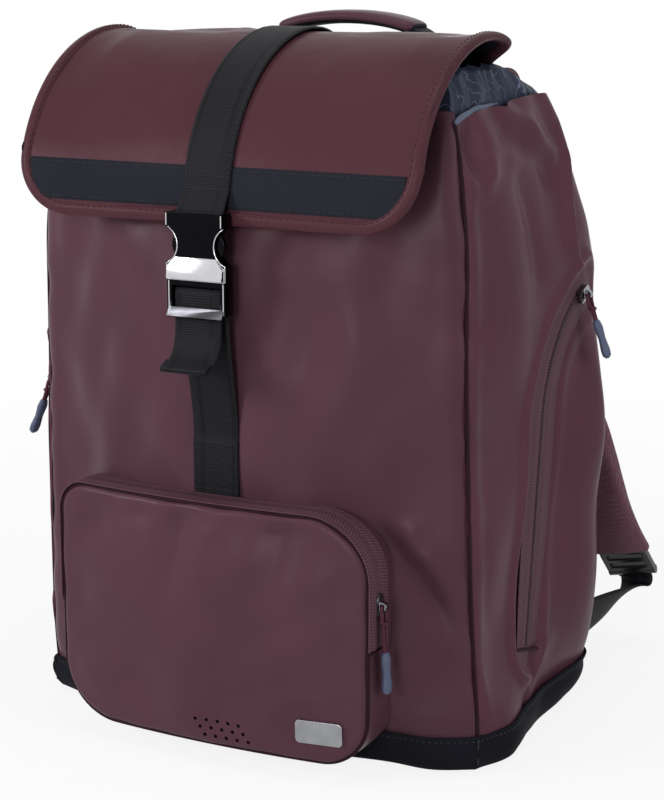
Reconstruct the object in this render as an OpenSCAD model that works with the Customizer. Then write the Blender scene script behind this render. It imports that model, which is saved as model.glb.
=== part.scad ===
// Travel backpack with a buckled top flap, a front zip pocket and two side zips
// Millimetres, +Z up, the front faces -Y, the origin is on the floor under the middle of the base

/* [Body] */
// Width between the two front seams
body_w = 308; // [255:1:375]
// Depth from the front seams to the back panel
body_d = 195; // [160:1:240]
// Height of the shell's rim above the floor
rim_z = 400; // [345:1:485]
// Height under which the shell draws in to its base
belly_z = 70; // [55:1:85]
// Height over which the shell draws in to its rim
shoulder_z = 300; // [290:1:330]
// Bow of the front panel ahead of its seams
front_crown = 43; // [30:1:52]
// Bow of the front at the floor
base_crown = 28; // [15:1:34]
// Bow of the front at the rim
rim_crown = 12; // [5:1:16]
// Draw-in of each side at the floor
base_draw = 2; // [0:1:12]
// Draw-in of the front and the back at the floor
base_tuck = 4; // [2:1:10]
// Draw-in of each side at the rim
rim_draw = 20; // [12:1:26]
// Set-back of the front seams at the rim
rim_front = 4; // [0:1:8]
// Set-back of the back panel at the rim
rim_back = 45; // [35:1:52]
// Rounding of the back corners
back_corner = 12; // [8:1:15]
// Bow of the back panel
back_crown = 6; // [2:1:9]
// Thickness of the lined shell fabric
shell_wall = 3; // [2:0.5:4]
// Thickness of the padded back panel
back_pad = 14; // [10:1:18]
// Radius of the piping in the front seams
seam_pipe_r = 1.5; // [1:0.1:2]

/* [Base and inside] */
// Height of the base boot
boot_h = 24; // [18:1:30]
// Thickness of the base boot's floor
boot_floor = 3; // [2:0.5:5]
// Thickness of the bottom board
board_t = 3; // [2:0.5:4]
// Thickness of the back frame sheet
frame_sheet_t = 2; // [1.5:0.5:3]
// Inside depth of the device sleeve
sleeve_gap = 24; // [18:1:30]
// Thickness of the device sleeve's padding
sleeve_t = 4; // [3:0.5:6]
// Inside width of the device sleeve
sleeve_w = 226; // [185:1:270]
// Height of the device sleeve
sleeve_h = 215; // [180:1:230]
// Height to which the lining collar stands over the rim
collar_rise = 20; // [12:1:24]
// How far the lining collar leans in over the mouth
collar_lean = 18; // [10:1:18]
// Thickness of the lining collar
collar_t = 1.6; // [1.2:0.2:2.4]

/* [Front pocket] */
// Width of the pocket
pocket_w = 216; // [180:1:240]
// Height of the pocket's lower edge
pocket_z = 13; // [8:1:20]
// Height of the pocket's upper edge
pocket_top = 164; // [140:1:175]
// Corner radius of the pocket
pocket_r = 36; // [24:1:44]
// Depth of the pocket at its sides
pocket_d = 33; // [26:1:38]
// Bow of the pocket's edge, with the front panel behind it
pocket_bow = 8; // [5:1:12]
// Swell of the pocket's face over its edge
pocket_crown = 7; // [4:1:12]
// Thickness of the pocket's fabric
pocket_t = 2.4; // [2:0.2:3]
// Radius of the piping round the pocket's face
pocket_pipe_r = 1.6; // [1.2:0.1:2]
// Height of the lower ends of the pocket's zip
pocket_zip_z = 86; // [70:1:95]
// Distance from the pocket's face to the middle of its zip
pocket_zip_in = 13; // [11:0.5:14]
// Width of the bare metal plate
plate_w = 30; // [24:1:36]
// Height of the bare metal plate
plate_h = 15; // [10:1:18]

/* [Zips] */
// Width of the side zips' tape
tape_w = 20; // [16:1:24]
// Thickness of the zip tape
tape_t = 1.2; // [0.8:0.1:1.6]
// Width of the zip coil
coil_w = 5.6; // [4.4:0.2:6.8]
// Height of the zip coil over its tape
coil_h = 1.8; // [1.4:0.1:2.2]
// Radius of the right zip's upper bend
bend_r = 90; // [76:1:104]
// Height of the right zip's upper end
bend_top_z = 279; // [260:1:290]
// Height of the right zip's lower end
right_zip_z = 58; // [50:1:75]
// Lean of the right zip's straight run to the front
right_zip_lean = 7.5; // [4:0.5:9]
// Distance of the left zip behind the front seam
left_zip_y = 12; // [11:1:20]
// Height of the left zip's lower end
left_zip_z = 60; // [55:1:80]
// Height of the left zip's upper end
left_zip_top = 232; // [200:1:260]
// Diameter of the pull cord
pull_cord_d = 1.9; // [1.5:0.1:2.2]
// Length of the moulded grip on a zip pull
grip_l = 26; // [20:1:32]
// Radius of the moulded grip
grip_r = 3.4; // [2.8:0.2:4]

/* [Flap] */
// Width of the flap
flap_w = 274; // [230:1:300]
// Height of the flap's lower edge under the rim
flap_drop = 67; // [55:1:80]
// Radius of the flap's lower corners
flap_corner = 36; // [20:1:48]
// Thickness of the flap
flap_t = 3; // [2:0.5:4]
// Gap between front panel and flap at the lower edge
flap_gap = 9; // [7:0.5:13]
// Width of the binding round the flap
binding_w = 9; // [6:0.5:12]
// How far the binding stands proud of the flap
binding_proud = 0.6; // [0.4:0.1:1]
// Height of the black band on the flap
band_h = 24; // [16:1:32]
// Thickness of the black band
band_t = 0.5; // [0.4:0.1:0.8]
// Place of the flap's back seam behind the middle
seam_y = -5; // [-12:1:2]
// Height of the flap's back seam over the rim
seam_rise = 16; // [14:1:20]
// Lift of the flap's arch over the rim
arch_lift = 60; // [54:1:68]

/* [Strap and buckle] */
// Width of the centre strap
strap_w = 32; // [26:1:38]
// Thickness of the centre strap
strap_t = 1.8; // [1.4:0.1:2.2]
// Height of the stitch line where the front strap comes free
stitch_z = 200; // [190:1:210]
// Distance from the flap's lower edge down to the split of the buckle
buckle_drop = 32; // [30:1:38]
// Width of the buckle
buckle_w = 40; // [38:0.5:48]
// Width of the buckle's waist
waist_w = 25; // [22:0.5:28]
// Height of the buckle tongue's frame
tongue_h = 20; // [18:0.5:24]
// Travel of each release ear
ear_travel = 3; // [2:0.25:3.25]
// Length of the loose strap tail
tail_l = 31; // [26:1:44]

/* [Handle and shoulder straps] */
// Distance between the ends of the handle
handle_span = 124; // [100:1:140]
// Height of the handle's arch
handle_rise = 27; // [22:1:34]
// Width of the handle's webbing
handle_w = 20; // [16:1:24]
// Thickness of the handle's wrapped grip
handle_grip_t = 9; // [7:0.5:11]
// Width of the shoulder pads
pad_w = 62; // [50:1:70]
// Thickness of the shoulder pads
pad_t = 12; // [8:0.5:13]
// Width of the adjuster webbing
web_w = 25; // [20:1:30]

/* [Hidden] */

burgundy = "#5d4047";
black_cloth = "#26282c";
black_web = "#1f2023";
gunmetal = "#55575c";
slate = "#4a5266";
lining_grey = "#3c4350";

// Gap between pieces that lie on each other but are faceted apart
lay = 0.4;
// Gap between pieces of different bodies
play = 0.4;

// Helpers: a cubic curve, its offset, and the outline of a band along it
function curve(p, t) = pow(1 - t, 3) * p[0] + 3 * pow(1 - t, 2) * t * p[1]
    + 3 * (1 - t) * t * t * p[2] + pow(t, 3) * p[3];
function slope(p, t) = 3 * pow(1 - t, 2) * (p[1] - p[0]) + 6 * (1 - t) * t * (p[2] - p[1])
    + 3 * t * t * (p[3] - p[2]);
function unit(v) = v / norm(v);
function beside(p, t, off) = curve(p, t) + off * unit([slope(p, t)[1], -slope(p, t)[0]]);
function steps(a, b, n) = [for (i = [0:n]) a + (b - a) * i / n];
function band(p, t0, t1, in, out, n) = concat(
    [for (t = steps(t0, t1, n)) beside(p, t, in)],
    [for (t = steps(t1, t0, n)) beside(p, t, out)]
);
function flat(rows) = [for (r = rows) each r];

// Closed solid between two grids of points, columns x rows = outward
module sheet_solid(outer, inner) {
    n = len(outer);
    m = len(outer[0]);
    q = n * m;
    function at(i, j) = i * m + j;
    skin = [for (i = [0:n - 2], j = [0:m - 2]) each
        let(a = at(i, j), b = at(i, j + 1), c = at(i + 1, j + 1), d = at(i + 1, j))
        [[a, d, c], [a, c, b], [q + a, q + c, q + d], [q + a, q + b, q + c]]];
    ends = [for (j = [0:m - 2]) each
        let(a = at(0, j), b = at(0, j + 1), c = at(n - 1, j + 1), d = at(n - 1, j))
        [[a, b, q + b], [a, q + b, q + a], [c, d, q + d], [c, q + d, q + c]]];
    sides = [for (i = [0:n - 2]) each
        let(a = at(i, 0), d = at(i + 1, 0), b = at(i, m - 1), c = at(i + 1, m - 1))
        [[d, a, q + a], [d, q + a, q + d], [b, c, q + c], [b, q + c, q + b]]];
    polyhedron(concat(flat(outer), flat(inner)), concat(skin, ends, sides));
}

// Closed solid through a row of loops, each with an even count of points
module sweep_solid(loops, closed = false) {
    n = len(loops);
    k = len(loops[0]);
    last = closed ? n - 1 : n - 2;
    walls = [for (i = [0:last], j = [0:k - 1]) each
        let(i2 = (i + 1) % n, j2 = (j + 1) % k)
        let(a = i * k + j, b = i * k + j2, c = i2 * k + j2, d = i2 * k + j)
        [[a, d, c], [a, c, b]]];
    e = (n - 1) * k;
    caps = closed ? [] : [for (j = [0:k / 2 - 2]) each
        let(a = j, b = j + 1, c = k - 2 - j, d = k - 1 - j)
        [[a, b, c], [a, c, d], [e + a, e + c, e + b], [e + a, e + d, e + c]]];
    polyhedron(flat(loops), concat(walls, caps));
}

// Loops along a path: a flat bar with chamfered edges, and a round cord
function across_of(along, wide) = unit(wide - (wide * along) * along);
function bar_corners(hw, ht, ch) = [
    [hw, ht - ch], [hw - ch, ht], [ch - hw, ht], [-hw, ht - ch],
    [-hw, ch - ht], [ch - hw, -ht], [hw - ch, -ht], [hw, ch - ht]
];
function bar_loop(p, along, wide, hw, ht, ch) = let(u = across_of(along, wide), v = cross(along, u))
    [for (c = bar_corners(hw, ht, ch)) p + c[0] * u + c[1] * v];
function cord_loop(p, along, wide, r, k) = let(u = across_of(along, wide), v = cross(along, u))
    [for (j = [0:k - 1]) p + r * (cos(360 * j / k) * u + sin(360 * j / k) * v)];
function along_of(path, i) = unit(path[min(i + 1, len(path) - 1)] - path[max(i - 1, 0)]);

// Profile in the YZ plane, extruded across X about the middle
module across_x(w) {
    rotate([90, 0, 90])
        translate([0, 0, -w / 2])
            linear_extrude(w)
                children();
}

// Outline in the XZ plane, extruded to the front from y
module to_front(y, h) {
    translate([0, y, 0])
        rotate([90, 0, 0])
            linear_extrude(h)
                children();
}

// Shape of the shell at height z
function low(z) = z < belly_z ? pow((belly_z - z) / belly_z, 2) : 0;
function high(z) = z > shoulder_z ? pow((z - shoulder_z) / (rim_z - shoulder_z), 2) : 0;
function half_w(z) = body_w / 2 - base_draw * low(z) - rim_draw * high(z);
function front_y(z) = -body_d / 2 + base_tuck * low(z) + rim_front * high(z);
function back_y(z) = body_d / 2 - base_tuck * low(z) - rim_back * high(z);
function crown(z) = front_crown - (front_crown - base_crown) * low(z) - (front_crown - rim_crown) * high(z);
function panel_y(x, z) = front_y(z) - crown(z) * (1 - pow(x / half_w(z), 2));
function front_pt(s, z, in) = [s * (half_w(z) - in), front_y(z) - crown(z) * (1 - s * s) + in, z];
function side_pt(t, z, in) = [
    half_w(z) - in - back_corner * pow(t, 24),
    front_y(z) + in + t * (back_y(z) - front_y(z) - 2 * in),
    z
];
function back_pt(s, z, in) = [
    s * (half_w(z) - back_corner - in),
    back_y(z) + back_crown * (1 - s * s) - in,
    z
];
function flip_x(p) = [-p[0], p[1], p[2]];

front_s = steps(-1, 1, 16);
side_t = [0, 0.3, 0.6, 0.8, 0.9, 0.94, 0.97, 1];
back_s = steps(1, -1, 10);
shell_rows = concat(steps(boot_h, belly_z, 3), steps(shoulder_z, rim_z, 6));

// Closed outline round the shell, from the middle of the front
function front_half(z, in) = [for (i = [0:len(front_s) - 2]) front_pt(front_s[i], z, in)];
function right_half(z, in) = [for (i = [0:len(side_t) - 2]) side_pt(side_t[i], z, in)];
function back_half(z, in) = [for (i = [0:len(back_s) - 2]) back_pt(back_s[i], z, in)];
function left_half(z, in) = [for (i = [len(side_t) - 1:-1:1]) flip_x(side_pt(side_t[i], z, in))];
function turned(list, first) = [for (i = [0:len(list) - 1]) list[(i + first) % len(list)]];
function outline(z, in) = turned(
    concat(front_half(z, in), right_half(z, in), back_half(z, in), left_half(z, in)),
    (len(front_s) - 1) / 2
);

// Shell pieces
module front_panel() {
    color(burgundy)
        sheet_solid(
            [for (z = shell_rows) [for (s = front_s) front_pt(s, z, 0)]],
            [for (z = shell_rows) [for (s = front_s) front_pt(s, z, shell_wall)]]
        );
}

module right_gusset() {
    color(burgundy)
        sheet_solid(
            [for (z = shell_rows) [for (t = side_t) side_pt(t, z, 0)]],
            [for (z = shell_rows) [for (t = side_t) side_pt(t, z, shell_wall)]]
        );
}

module left_gusset() {
    mirror([1, 0, 0]) right_gusset();
}

module back_panel() {
    color(black_cloth)
        sheet_solid(
            [for (z = shell_rows) [for (s = back_s) back_pt(s, z, 0)]],
            [for (z = shell_rows) [for (s = back_s) back_pt(s, z, back_pad)]]
        );
}

module base_boot() {
    color(black_cloth)
        sweep_solid([
            outline(0, 0), outline(boot_h / 3, 0), outline(boot_h * 2 / 3, 0), outline(boot_h, 0),
            outline(boot_h, shell_wall), outline(boot_floor, shell_wall)
        ]);
}

// Gap between the bottom board and the boot's walls
board_gap = 1;

module bottom_board() {
    color("#8a8478")
        translate([0, 0, boot_floor])
            linear_extrude(board_t)
                polygon([for (p = outline(boot_floor, shell_wall + board_gap)) [p[0], p[1]]]);
}

// The frame sheet lies on the inside of the back panel and stops short of its edges
sheet_under_rim = 30;
sheet_part = 0.86;
sheet_rows = concat(steps(boot_h + board_t, belly_z, 2), steps(shoulder_z, rim_z - sheet_under_rim, 4));
sheet_s = steps(sheet_part, -sheet_part, 8);
sheet_in = back_pad + lay;

module back_frame_sheet() {
    color("#c9c9c4")
        sheet_solid(
            [for (z = sheet_rows) [for (s = sheet_s) back_pt(s, z, sheet_in)]],
            [for (z = sheet_rows) [for (s = sheet_s) back_pt(s, z, sheet_in + frame_sheet_t)]]
        );
}

// The sleeve hangs off the frame sheet, clear of the floor
sleeve_z = belly_z;
sleeve_edge = sleeve_w / 2 + sleeve_t;
sleeve_s = min(sheet_part, sleeve_edge / (half_w(shoulder_z) - back_corner - sheet_in - frame_sheet_t));
sleeve_back = back_pt(sleeve_s, shoulder_z, sheet_in + frame_sheet_t + lay)[1];

module device_sleeve() {
    depth = sleeve_gap + sleeve_t;
    color(lining_grey)
        difference() {
            translate([-sleeve_edge, sleeve_back - depth, sleeve_z])
                cube([2 * sleeve_edge, depth, sleeve_h]);
            translate([-sleeve_w / 2, sleeve_back - sleeve_gap, sleeve_z + sleeve_t])
                cube([sleeve_w, depth, sleeve_h]);
        }
}

// The yoke closes the top from the back panel to the flap's seam
yoke_margin = 8;
yoke_half_w = half_w(rim_z) - back_corner - yoke_margin;
yoke_t = 4;
yoke_bow = 4;
yoke_push = 6;
seam_z = rim_z + seam_rise;
yoke_curve = [
    [back_y(rim_z), rim_z], [back_y(rim_z), seam_z + yoke_bow],
    [(back_y(rim_z) + seam_y) / 2 + yoke_push, seam_z + yoke_bow], [seam_y + flap_t + lay, seam_z]
];
function yoke_crown(s) = back_crown * (1 - pow(s * yoke_half_w / (half_w(rim_z) - back_corner), 2));
function yoke_pt(s, t, in) = let(p = beside(yoke_curve, t, -in))
    [s * yoke_half_w, p[0] + yoke_crown(s) * (1 - t), p[1]];

module top_yoke() {
    color(burgundy)
        sheet_solid(
            [for (t = steps(0, 1, 8)) [for (s = back_s) yoke_pt(s, t, 0)]],
            [for (t = steps(0, 1, 8)) [for (s = back_s) yoke_pt(s, t, yoke_t)]]
        );
}

// The collar stands on the front and side rims and leans in over the mouth
collar_first_t = 0.15;
collar_back_t = 0.95;
collar_front_s = 0.98;
collar_run = concat(
    [for (t = steps(collar_back_t, collar_first_t, 5)) [-1, t]],
    [for (s = steps(-collar_front_s, collar_front_s, 14)) [0, s]],
    [for (t = steps(collar_first_t, collar_back_t, 5)) [1, t]]
);
function rim_pt(run, in) = run[0] == 0 ? front_pt(run[1], rim_z, in)
    : run[0] > 0 ? side_pt(run[1], rim_z, in) : flip_x(side_pt(run[1], rim_z, in));
// Share of the collar's height that is left along the back half of each side
collar_fall_t = 0.5;
collar_fall_to = 0.2;
function collar_fall(run) = run[0] == 0 ? 1
    : 1 - (1 - collar_fall_to) * pow(max(0, run[1] - collar_fall_t) / (1 - collar_fall_t), 2);
function collar_pt(run, in, up) = rim_pt(run, in) + [0, 0, up * collar_fall(run)];

module lining_collar() {
    foot_in = (shell_wall - collar_t) / 2;
    knee_in = collar_lean * 0.3;
    knee_z = collar_rise * 0.75;
    color(lining_grey)
        sweep_solid([for (r = collar_run) [
            collar_pt(r, collar_lean, collar_rise),
            collar_pt(r, knee_in, knee_z),
            collar_pt(r, foot_in, 0),
            collar_pt(r, foot_in + collar_t, 0),
            collar_pt(r, knee_in + collar_t, knee_z - collar_t),
            collar_pt(r, collar_lean, collar_rise - collar_t)
        ]]);
}

// The piping sits on the outer corner of the front seams
module right_piping() {
    off = seam_pipe_r * 0.75;
    color(burgundy)
        sweep_solid([for (z = shell_rows)
            cord_loop([half_w(z) + off, front_y(z) - off, z], [0, 0, 1], [1, 0, 0], seam_pipe_r, 6)]);
}

module left_piping() {
    mirror([1, 0, 0]) right_piping();
}

// Front pocket: outline points run clockwise as seen from the front
pocket_mid_z = (pocket_z + pocket_top) / 2;
pocket_edge_y = panel_y(pocket_w / 2, pocket_mid_z) - pocket_d;
function pocket_y(x, z) = pocket_edge_y - (1 - pow(2 * x / pocket_w, 2))
    * (pocket_bow + pocket_crown * (1 - pow((z - pocket_mid_z) / (pocket_top - pocket_mid_z), 2)));
function corner_arc(cx, cz, a, r) = [for (i = [0:5]) [cx + r * cos(a - 18 * i), cz + r * sin(a - 18 * i)]];
function pocket_over(in) =
    let(x = pocket_w / 2 - in, r = pocket_r - in, c = pocket_w / 2 - pocket_r, t = pocket_top - pocket_r)
    concat(
        [[-x, pocket_zip_z], [-x, (pocket_zip_z + t) / 2]],
        corner_arc(-c, t, 180, r),
        [for (i = [-2:2]) [i * c / 3, pocket_top - in]],
        corner_arc(c, t, 90, r),
        [[x, (pocket_zip_z + t) / 2], [x, pocket_zip_z]]
    );
function pocket_under(in) =
    let(x = pocket_w / 2 - in, r = pocket_r - in, c = pocket_w / 2 - pocket_r, b = pocket_z + pocket_r)
    concat(
        [[x, pocket_zip_z], [x, (pocket_zip_z + b) / 2]],
        corner_arc(c, b, 0, r),
        [for (i = [2:-1:-2]) [i * c / 3, pocket_z + in]],
        corner_arc(-c, b, 270, r),
        [[-x, (pocket_zip_z + b) / 2], [-x, pocket_zip_z]]
    );
// The wall stops just short of the face's back
seam_gap = 0.05;
function wall_loop(o, i) = [
    [o[0], panel_y(o[0], o[1]) - lay, o[1]],
    [o[0], pocket_y(o[0], o[1]) + pocket_t + seam_gap, o[1]],
    [i[0], pocket_y(i[0], i[1]) + pocket_t + seam_gap, i[1]],
    [i[0], panel_y(i[0], i[1]) - lay, i[1]]
];
function strip_loop(foot, top, y0, y1) = let(y = pocket_y(foot[0], foot[1])) [
    [top[0], y + y1, top[1]], [top[0], y + y0, top[1]],
    [foot[0], y + y0, foot[1]], [foot[0], y + y1, foot[1]]
];

pocket_cols = concat(
    [for (a = [0:18:90]) -pocket_w / 2 + pocket_r * (1 - cos(a))],
    [for (i = [-2:2]) i * (pocket_w / 2 - pocket_r) / 3],
    [for (a = [90:-18:0]) pocket_w / 2 - pocket_r * (1 - cos(a))]
);
function pocket_bite(x) = let(u = max(0, abs(x) - (pocket_w / 2 - pocket_r)))
    pocket_r - sqrt(max(0, pocket_r * pocket_r - u * u));
function pocket_at(x, v) = pocket_z + pocket_bite(x) + v * (pocket_top - pocket_z - 2 * pocket_bite(x));

module pocket_face() {
    rows = steps(0, 1, 8);
    function face_pt(x, z, in) = [x, pocket_y(x, z) + in, z];
    color(burgundy)
        sheet_solid(
            [for (v = rows) [for (x = pocket_cols) face_pt(x, pocket_at(x, v), 0)]],
            [for (v = rows) [for (x = pocket_cols) face_pt(x, pocket_at(x, v), pocket_t)]]
        );
}

module pocket_gusset() {
    o = pocket_under(0);
    i = pocket_under(pocket_t);
    color(burgundy)
        sweep_solid([for (k = [0:len(o) - 1]) wall_loop(o[k], i[k])]);
}

module pocket_zip_tape() {
    o = pocket_over(0);
    i = pocket_over(pocket_t);
    color(burgundy)
        sweep_solid([for (k = [0:len(o) - 1]) wall_loop(o[k], i[k])]);
}

module pocket_zip_coil() {
    top = pocket_over(-coil_h);
    foot = pocket_over(0);
    color(black_web)
        sweep_solid([for (k = [0:len(foot) - 1])
            strip_loop(foot[k], top[k], pocket_zip_in - coil_w / 2, pocket_zip_in + coil_w / 2)]);
}

module pocket_piping() {
    ring = concat(
        [for (k = [0:len(pocket_over(0)) - 2]) pocket_over(-pocket_pipe_r)[k]],
        [for (k = [0:len(pocket_under(0)) - 2]) pocket_under(-pocket_pipe_r)[k]]
    );
    path = [for (p = ring) [p[0], pocket_y(p[0], p[1]) + pocket_pipe_r / 2, p[1]]];
    n = len(path);
    function way(i) = unit(path[(i + 1) % n] - path[(i + n - 1) % n]);
    color(burgundy)
        sweep_solid(
            [for (i = [0:n - 1]) cord_loop(path[i], way(i), [0, 1, 0], pocket_pipe_r * 0.9, 6)],
            closed = true
        );
}

// The bare plate lies on the lower right of the pocket's face
plate_x = pocket_w / 2 - 28;
plate_z = pocket_z + 20;
plate_r = 3;
plate_t = 1.6;
plate_turn = atan((pocket_y(plate_x + 1, plate_z) - pocket_y(plate_x - 1, plate_z)) / 2);
plate_lean = -atan((pocket_y(plate_x, plate_z + 1) - pocket_y(plate_x, plate_z - 1)) / 2);

module pocket_plate() {
    half_w = plate_w / 2;
    half_h = plate_h / 2;
    color("#b9bbc0")
        translate([plate_x, pocket_y(plate_x, plate_z) - lay / 2, plate_z])
            rotate([plate_lean, 0, plate_turn])
                to_front(0, plate_t) {
                    translate([plate_r - half_w, -half_h]) square([plate_w - 2 * plate_r, plate_h]);
                    translate([-half_w, plate_r - half_h]) square([plate_w, plate_h - 2 * plate_r]);
                    for (x = [-1, 1], z = [-1, 1])
                        translate([x * (half_w - plate_r), z * (half_h - plate_r)]) circle(plate_r, $fn = 32);
                }
}

// Right zip: an upper bend about a fixed centre, then a straight run down and forward
side_x = body_w / 2;
bend_before_back = 8;
bend_c = [body_d / 2 - bend_before_back, bend_top_z - bend_r];
bend_a0 = 104;
bend_a1 = 180 - right_zip_lean;
bend_low = bend_c + bend_r * [cos(bend_a1), sin(bend_a1)];
run_l = (bend_low[1] - right_zip_z) / cos(right_zip_lean);

module right_strip(w, x0, h) {
    translate([x0, bend_c[0], bend_c[1]])
        rotate([90, 0, 90])
            rotate([0, 0, bend_a0])
                rotate_extrude(angle = bend_a1 - bend_a0, $fn = 180)
                    translate([bend_r - w / 2, 0])
                        square([w, h]);
    translate([x0, bend_low[0], bend_low[1]])
        rotate([-right_zip_lean, 0, 0])
            translate([0, -w / 2, -run_l])
                cube([h, w, run_l]);
}

module right_zip_tape() {
    color(burgundy)
        right_strip(tape_w, side_x, tape_t);
}

module right_zip_coil() {
    color(black_web)
        right_strip(coil_w, side_x + tape_t, coil_h);
}

// Left zip: a straight run behind the left front seam
left_y = left_zip_y - body_d / 2;

module left_zip_tape() {
    color(burgundy)
        translate([-side_x - tape_t, left_y - tape_w / 2, left_zip_z])
            cube([tape_t, tape_w, left_zip_top - left_zip_z]);
}

module left_zip_coil() {
    color(black_web)
        translate([-side_x - tape_t - coil_h, left_y - coil_w / 2, left_zip_z])
            cube([coil_h, coil_w, left_zip_top - left_zip_z]);
}

// Slider on a coil: X is the way along the zip, Y across, Z out of the bag
slider_l = 13;
slider_skin = 1.4;
slider_side = 1.2;
slider_end = 3;
slider_top = coil_h + play + slider_skin;
bail_r = pull_cord_d / 2 + 0.5;
bail_rim = 1.3;
bail_z = slider_top + bail_r + 0.3;
bail_w = 3.6;
bail_sink = 0.5;

module cross_bar(r, w) {
    translate([0, w / 2, bail_z]) rotate([90, 0, 0]) cylinder(h = w, r = r, $fn = 40);
}

module slider(bail_turn) {
    hw = coil_w / 2 + play + slider_side;
    bail_hw = bail_r + bail_rim;
    h = slider_top - play;
    difference() {
        union() {
            translate([slider_end - slider_l / 2, -hw, play]) cube([slider_l - 2 * slider_end, 2 * hw, h]);
            translate([-slider_l / 2, slider_side - hw, play]) cube([slider_l, 2 * (hw - slider_side), h]);
            for (s = [-1, 1])
                translate([s * (slider_l / 2 - slider_end), 0, play]) cylinder(h = h, r = hw, $fn = 40);
            rotate([0, 0, bail_turn]) {
                cross_bar(bail_hw, bail_w);
                translate([-bail_hw, -bail_w / 2, slider_top - bail_sink])
                    cube([2 * bail_hw, bail_w, bail_z - slider_top + bail_sink]);
            }
        }
        translate([-slider_l, -coil_w / 2 - play, -1])
            cube([2 * slider_l, coil_w + 2 * play, coil_h + play + 1]);
        rotate([0, 0, bail_turn]) cross_bar(bail_r, 2 * bail_w);
    }
}

// Pull: hangs along -Z from the bail's axis, which is Y here
side_drop = 17;
pocket_drop = 28;
strand_y = 1.15;
strand_out = bail_w / 2 + pull_cord_d / 2 + play;

module pull_cord(drop) {
    half = [
        [strand_y, -drop], [strand_y + 0.3, 5 - drop], [strand_out, -5],
        [strand_out, -2.2], [strand_out - 0.9, -0.5]
    ];
    pts = concat(half, [[0, 0]], [for (i = [len(half) - 1:-1:0]) [-half[i][0], half[i][1]]]);
    path = [for (p = pts) [0, p[0], p[1]]];
    function ring(i) = cord_loop(path[i], along_of(path, i), [1, 0, 0], pull_cord_d / 2, 8);
    sweep_solid([for (i = [0:len(path) - 1]) ring(i)]);
}

module pull_grip(drop) {
    translate([0, 0, -drop - seam_gap])
        rotate([180, 0, 0])
            rotate_extrude($fn = 48)
                difference() {
                    union() {
                        square([grip_r * 0.8, grip_l]);
                        translate([0, grip_r * 0.5]) square([grip_r, grip_l - grip_r]);
                    }
                    translate([grip_r * 2.6, grip_l / 2]) circle(grip_r * 1.8, $fn = 48);
                }
}

pocket_slider_z = pocket_zip_z + 26;
pocket_slider_at = [pocket_w / 2, pocket_y(pocket_w / 2, pocket_slider_z) + pocket_zip_in, pocket_slider_z];
right_slider_a = bend_a0 + 6;
right_slider_at = [
    side_x + tape_t,
    bend_c[0] + bend_r * cos(right_slider_a),
    bend_c[1] + bend_r * sin(right_slider_a)
];
left_slider_z = left_zip_top - 18;
left_slider_at = [-side_x - tape_t, left_y, left_slider_z];
right_pull_lean = 20;
left_pull_lean = 24;
pocket_pull_lean = 3;

// Turns a slider's frame to the right wall with its X along +Z, and a pull to hang beside it
module on_right_wall(p) {
    translate(p) rotate([0, 90, 0]) rotate([0, 0, 180]) children();
}

module hang(p, lean) {
    translate(p + [bail_z, 0, 0]) rotate([0, -lean, 0]) children();
}

module pocket_slider() {
    color(gunmetal) on_right_wall(pocket_slider_at) slider(0);
}

module pocket_pull_cord() {
    color(burgundy) hang(pocket_slider_at, pocket_pull_lean) pull_cord(pocket_drop);
}

module pocket_pull_grip() {
    color(slate) hang(pocket_slider_at, pocket_pull_lean) pull_grip(pocket_drop);
}

module right_slider() {
    color(gunmetal)
        translate(right_slider_at)
            rotate([right_slider_a - 90, 0, 0])
                rotate([0, 90, 0])
                    rotate([0, 0, 90])
                        slider(180 - right_slider_a);
}

module right_pull_cord() {
    color(burgundy) hang(right_slider_at, right_pull_lean) pull_cord(side_drop);
}

module right_pull_grip() {
    color(slate) hang(right_slider_at, right_pull_lean) pull_grip(side_drop);
}

module left_slider() {
    color(gunmetal) mirror([1, 0, 0]) on_right_wall(flip_x(left_slider_at)) slider(0);
}

module left_pull_cord() {
    color(burgundy) mirror([1, 0, 0]) hang(flip_x(left_slider_at), left_pull_lean) pull_cord(side_drop);
}

module left_pull_grip() {
    color(slate) mirror([1, 0, 0]) hang(flip_x(left_slider_at), left_pull_lean) pull_grip(side_drop);
}

// Flap: one arched profile from the back seam over the ridge to the lower edge
flap_edge_z = rim_z - flap_drop;
flap_front = panel_y(0, flap_edge_z) - flap_gap;
flap_curve = [
    [seam_y, seam_z - yoke_t], [seam_y + 8, rim_z + arch_lift],
    [flap_front + 2, rim_z + arch_lift - 8], [flap_front, flap_edge_z]
];
fold_t = 0.22;
fold_gap_t = 0.004;
fold_axis = beside(flap_curve, fold_t, flap_t + band_t + strap_t + lay);
flap_n = 28;

module flap_layer(t0, t1, in, out, w, n) {
    across_x(w) polygon(band(flap_curve, t0, t1, in, out, n));
}

// Front view of the flap's drop, drawn in by a margin
module drop_outline(in) {
    r = flap_corner - in;
    w = flap_w / 2 - in;
    z = flap_edge_z + in;
    translate([-w, z + r]) square([2 * w, flap_drop + arch_lift]);
    translate([r - w, z]) square([2 * (w - r), r + 1]);
    for (s = [-1, 1])
        translate([s * (w - r), z + r]) circle(r, $fn = 64);
}

module drop_block(in) {
    to_front(seam_y + body_d, 2 * body_d) drop_outline(in);
}

module flap_root() {
    color(burgundy)
        flap_layer(0, fold_t - fold_gap_t, 0, flap_t, 2 * yoke_half_w, 6);
}

module flap_panel() {
    color(burgundy)
        intersection() {
            flap_layer(fold_t + fold_gap_t, 1, 0, flap_t, flap_w, flap_n);
            drop_block(binding_w);
        }
}

module flap_binding() {
    color(burgundy)
        difference() {
            intersection() {
                flap_layer(fold_t + fold_gap_t, 1, -binding_proud, flap_t + binding_proud, flap_w, flap_n);
                drop_block(0);
            }
            drop_block(binding_w);
        }
}

band_z = flap_edge_z + binding_w;

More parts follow.
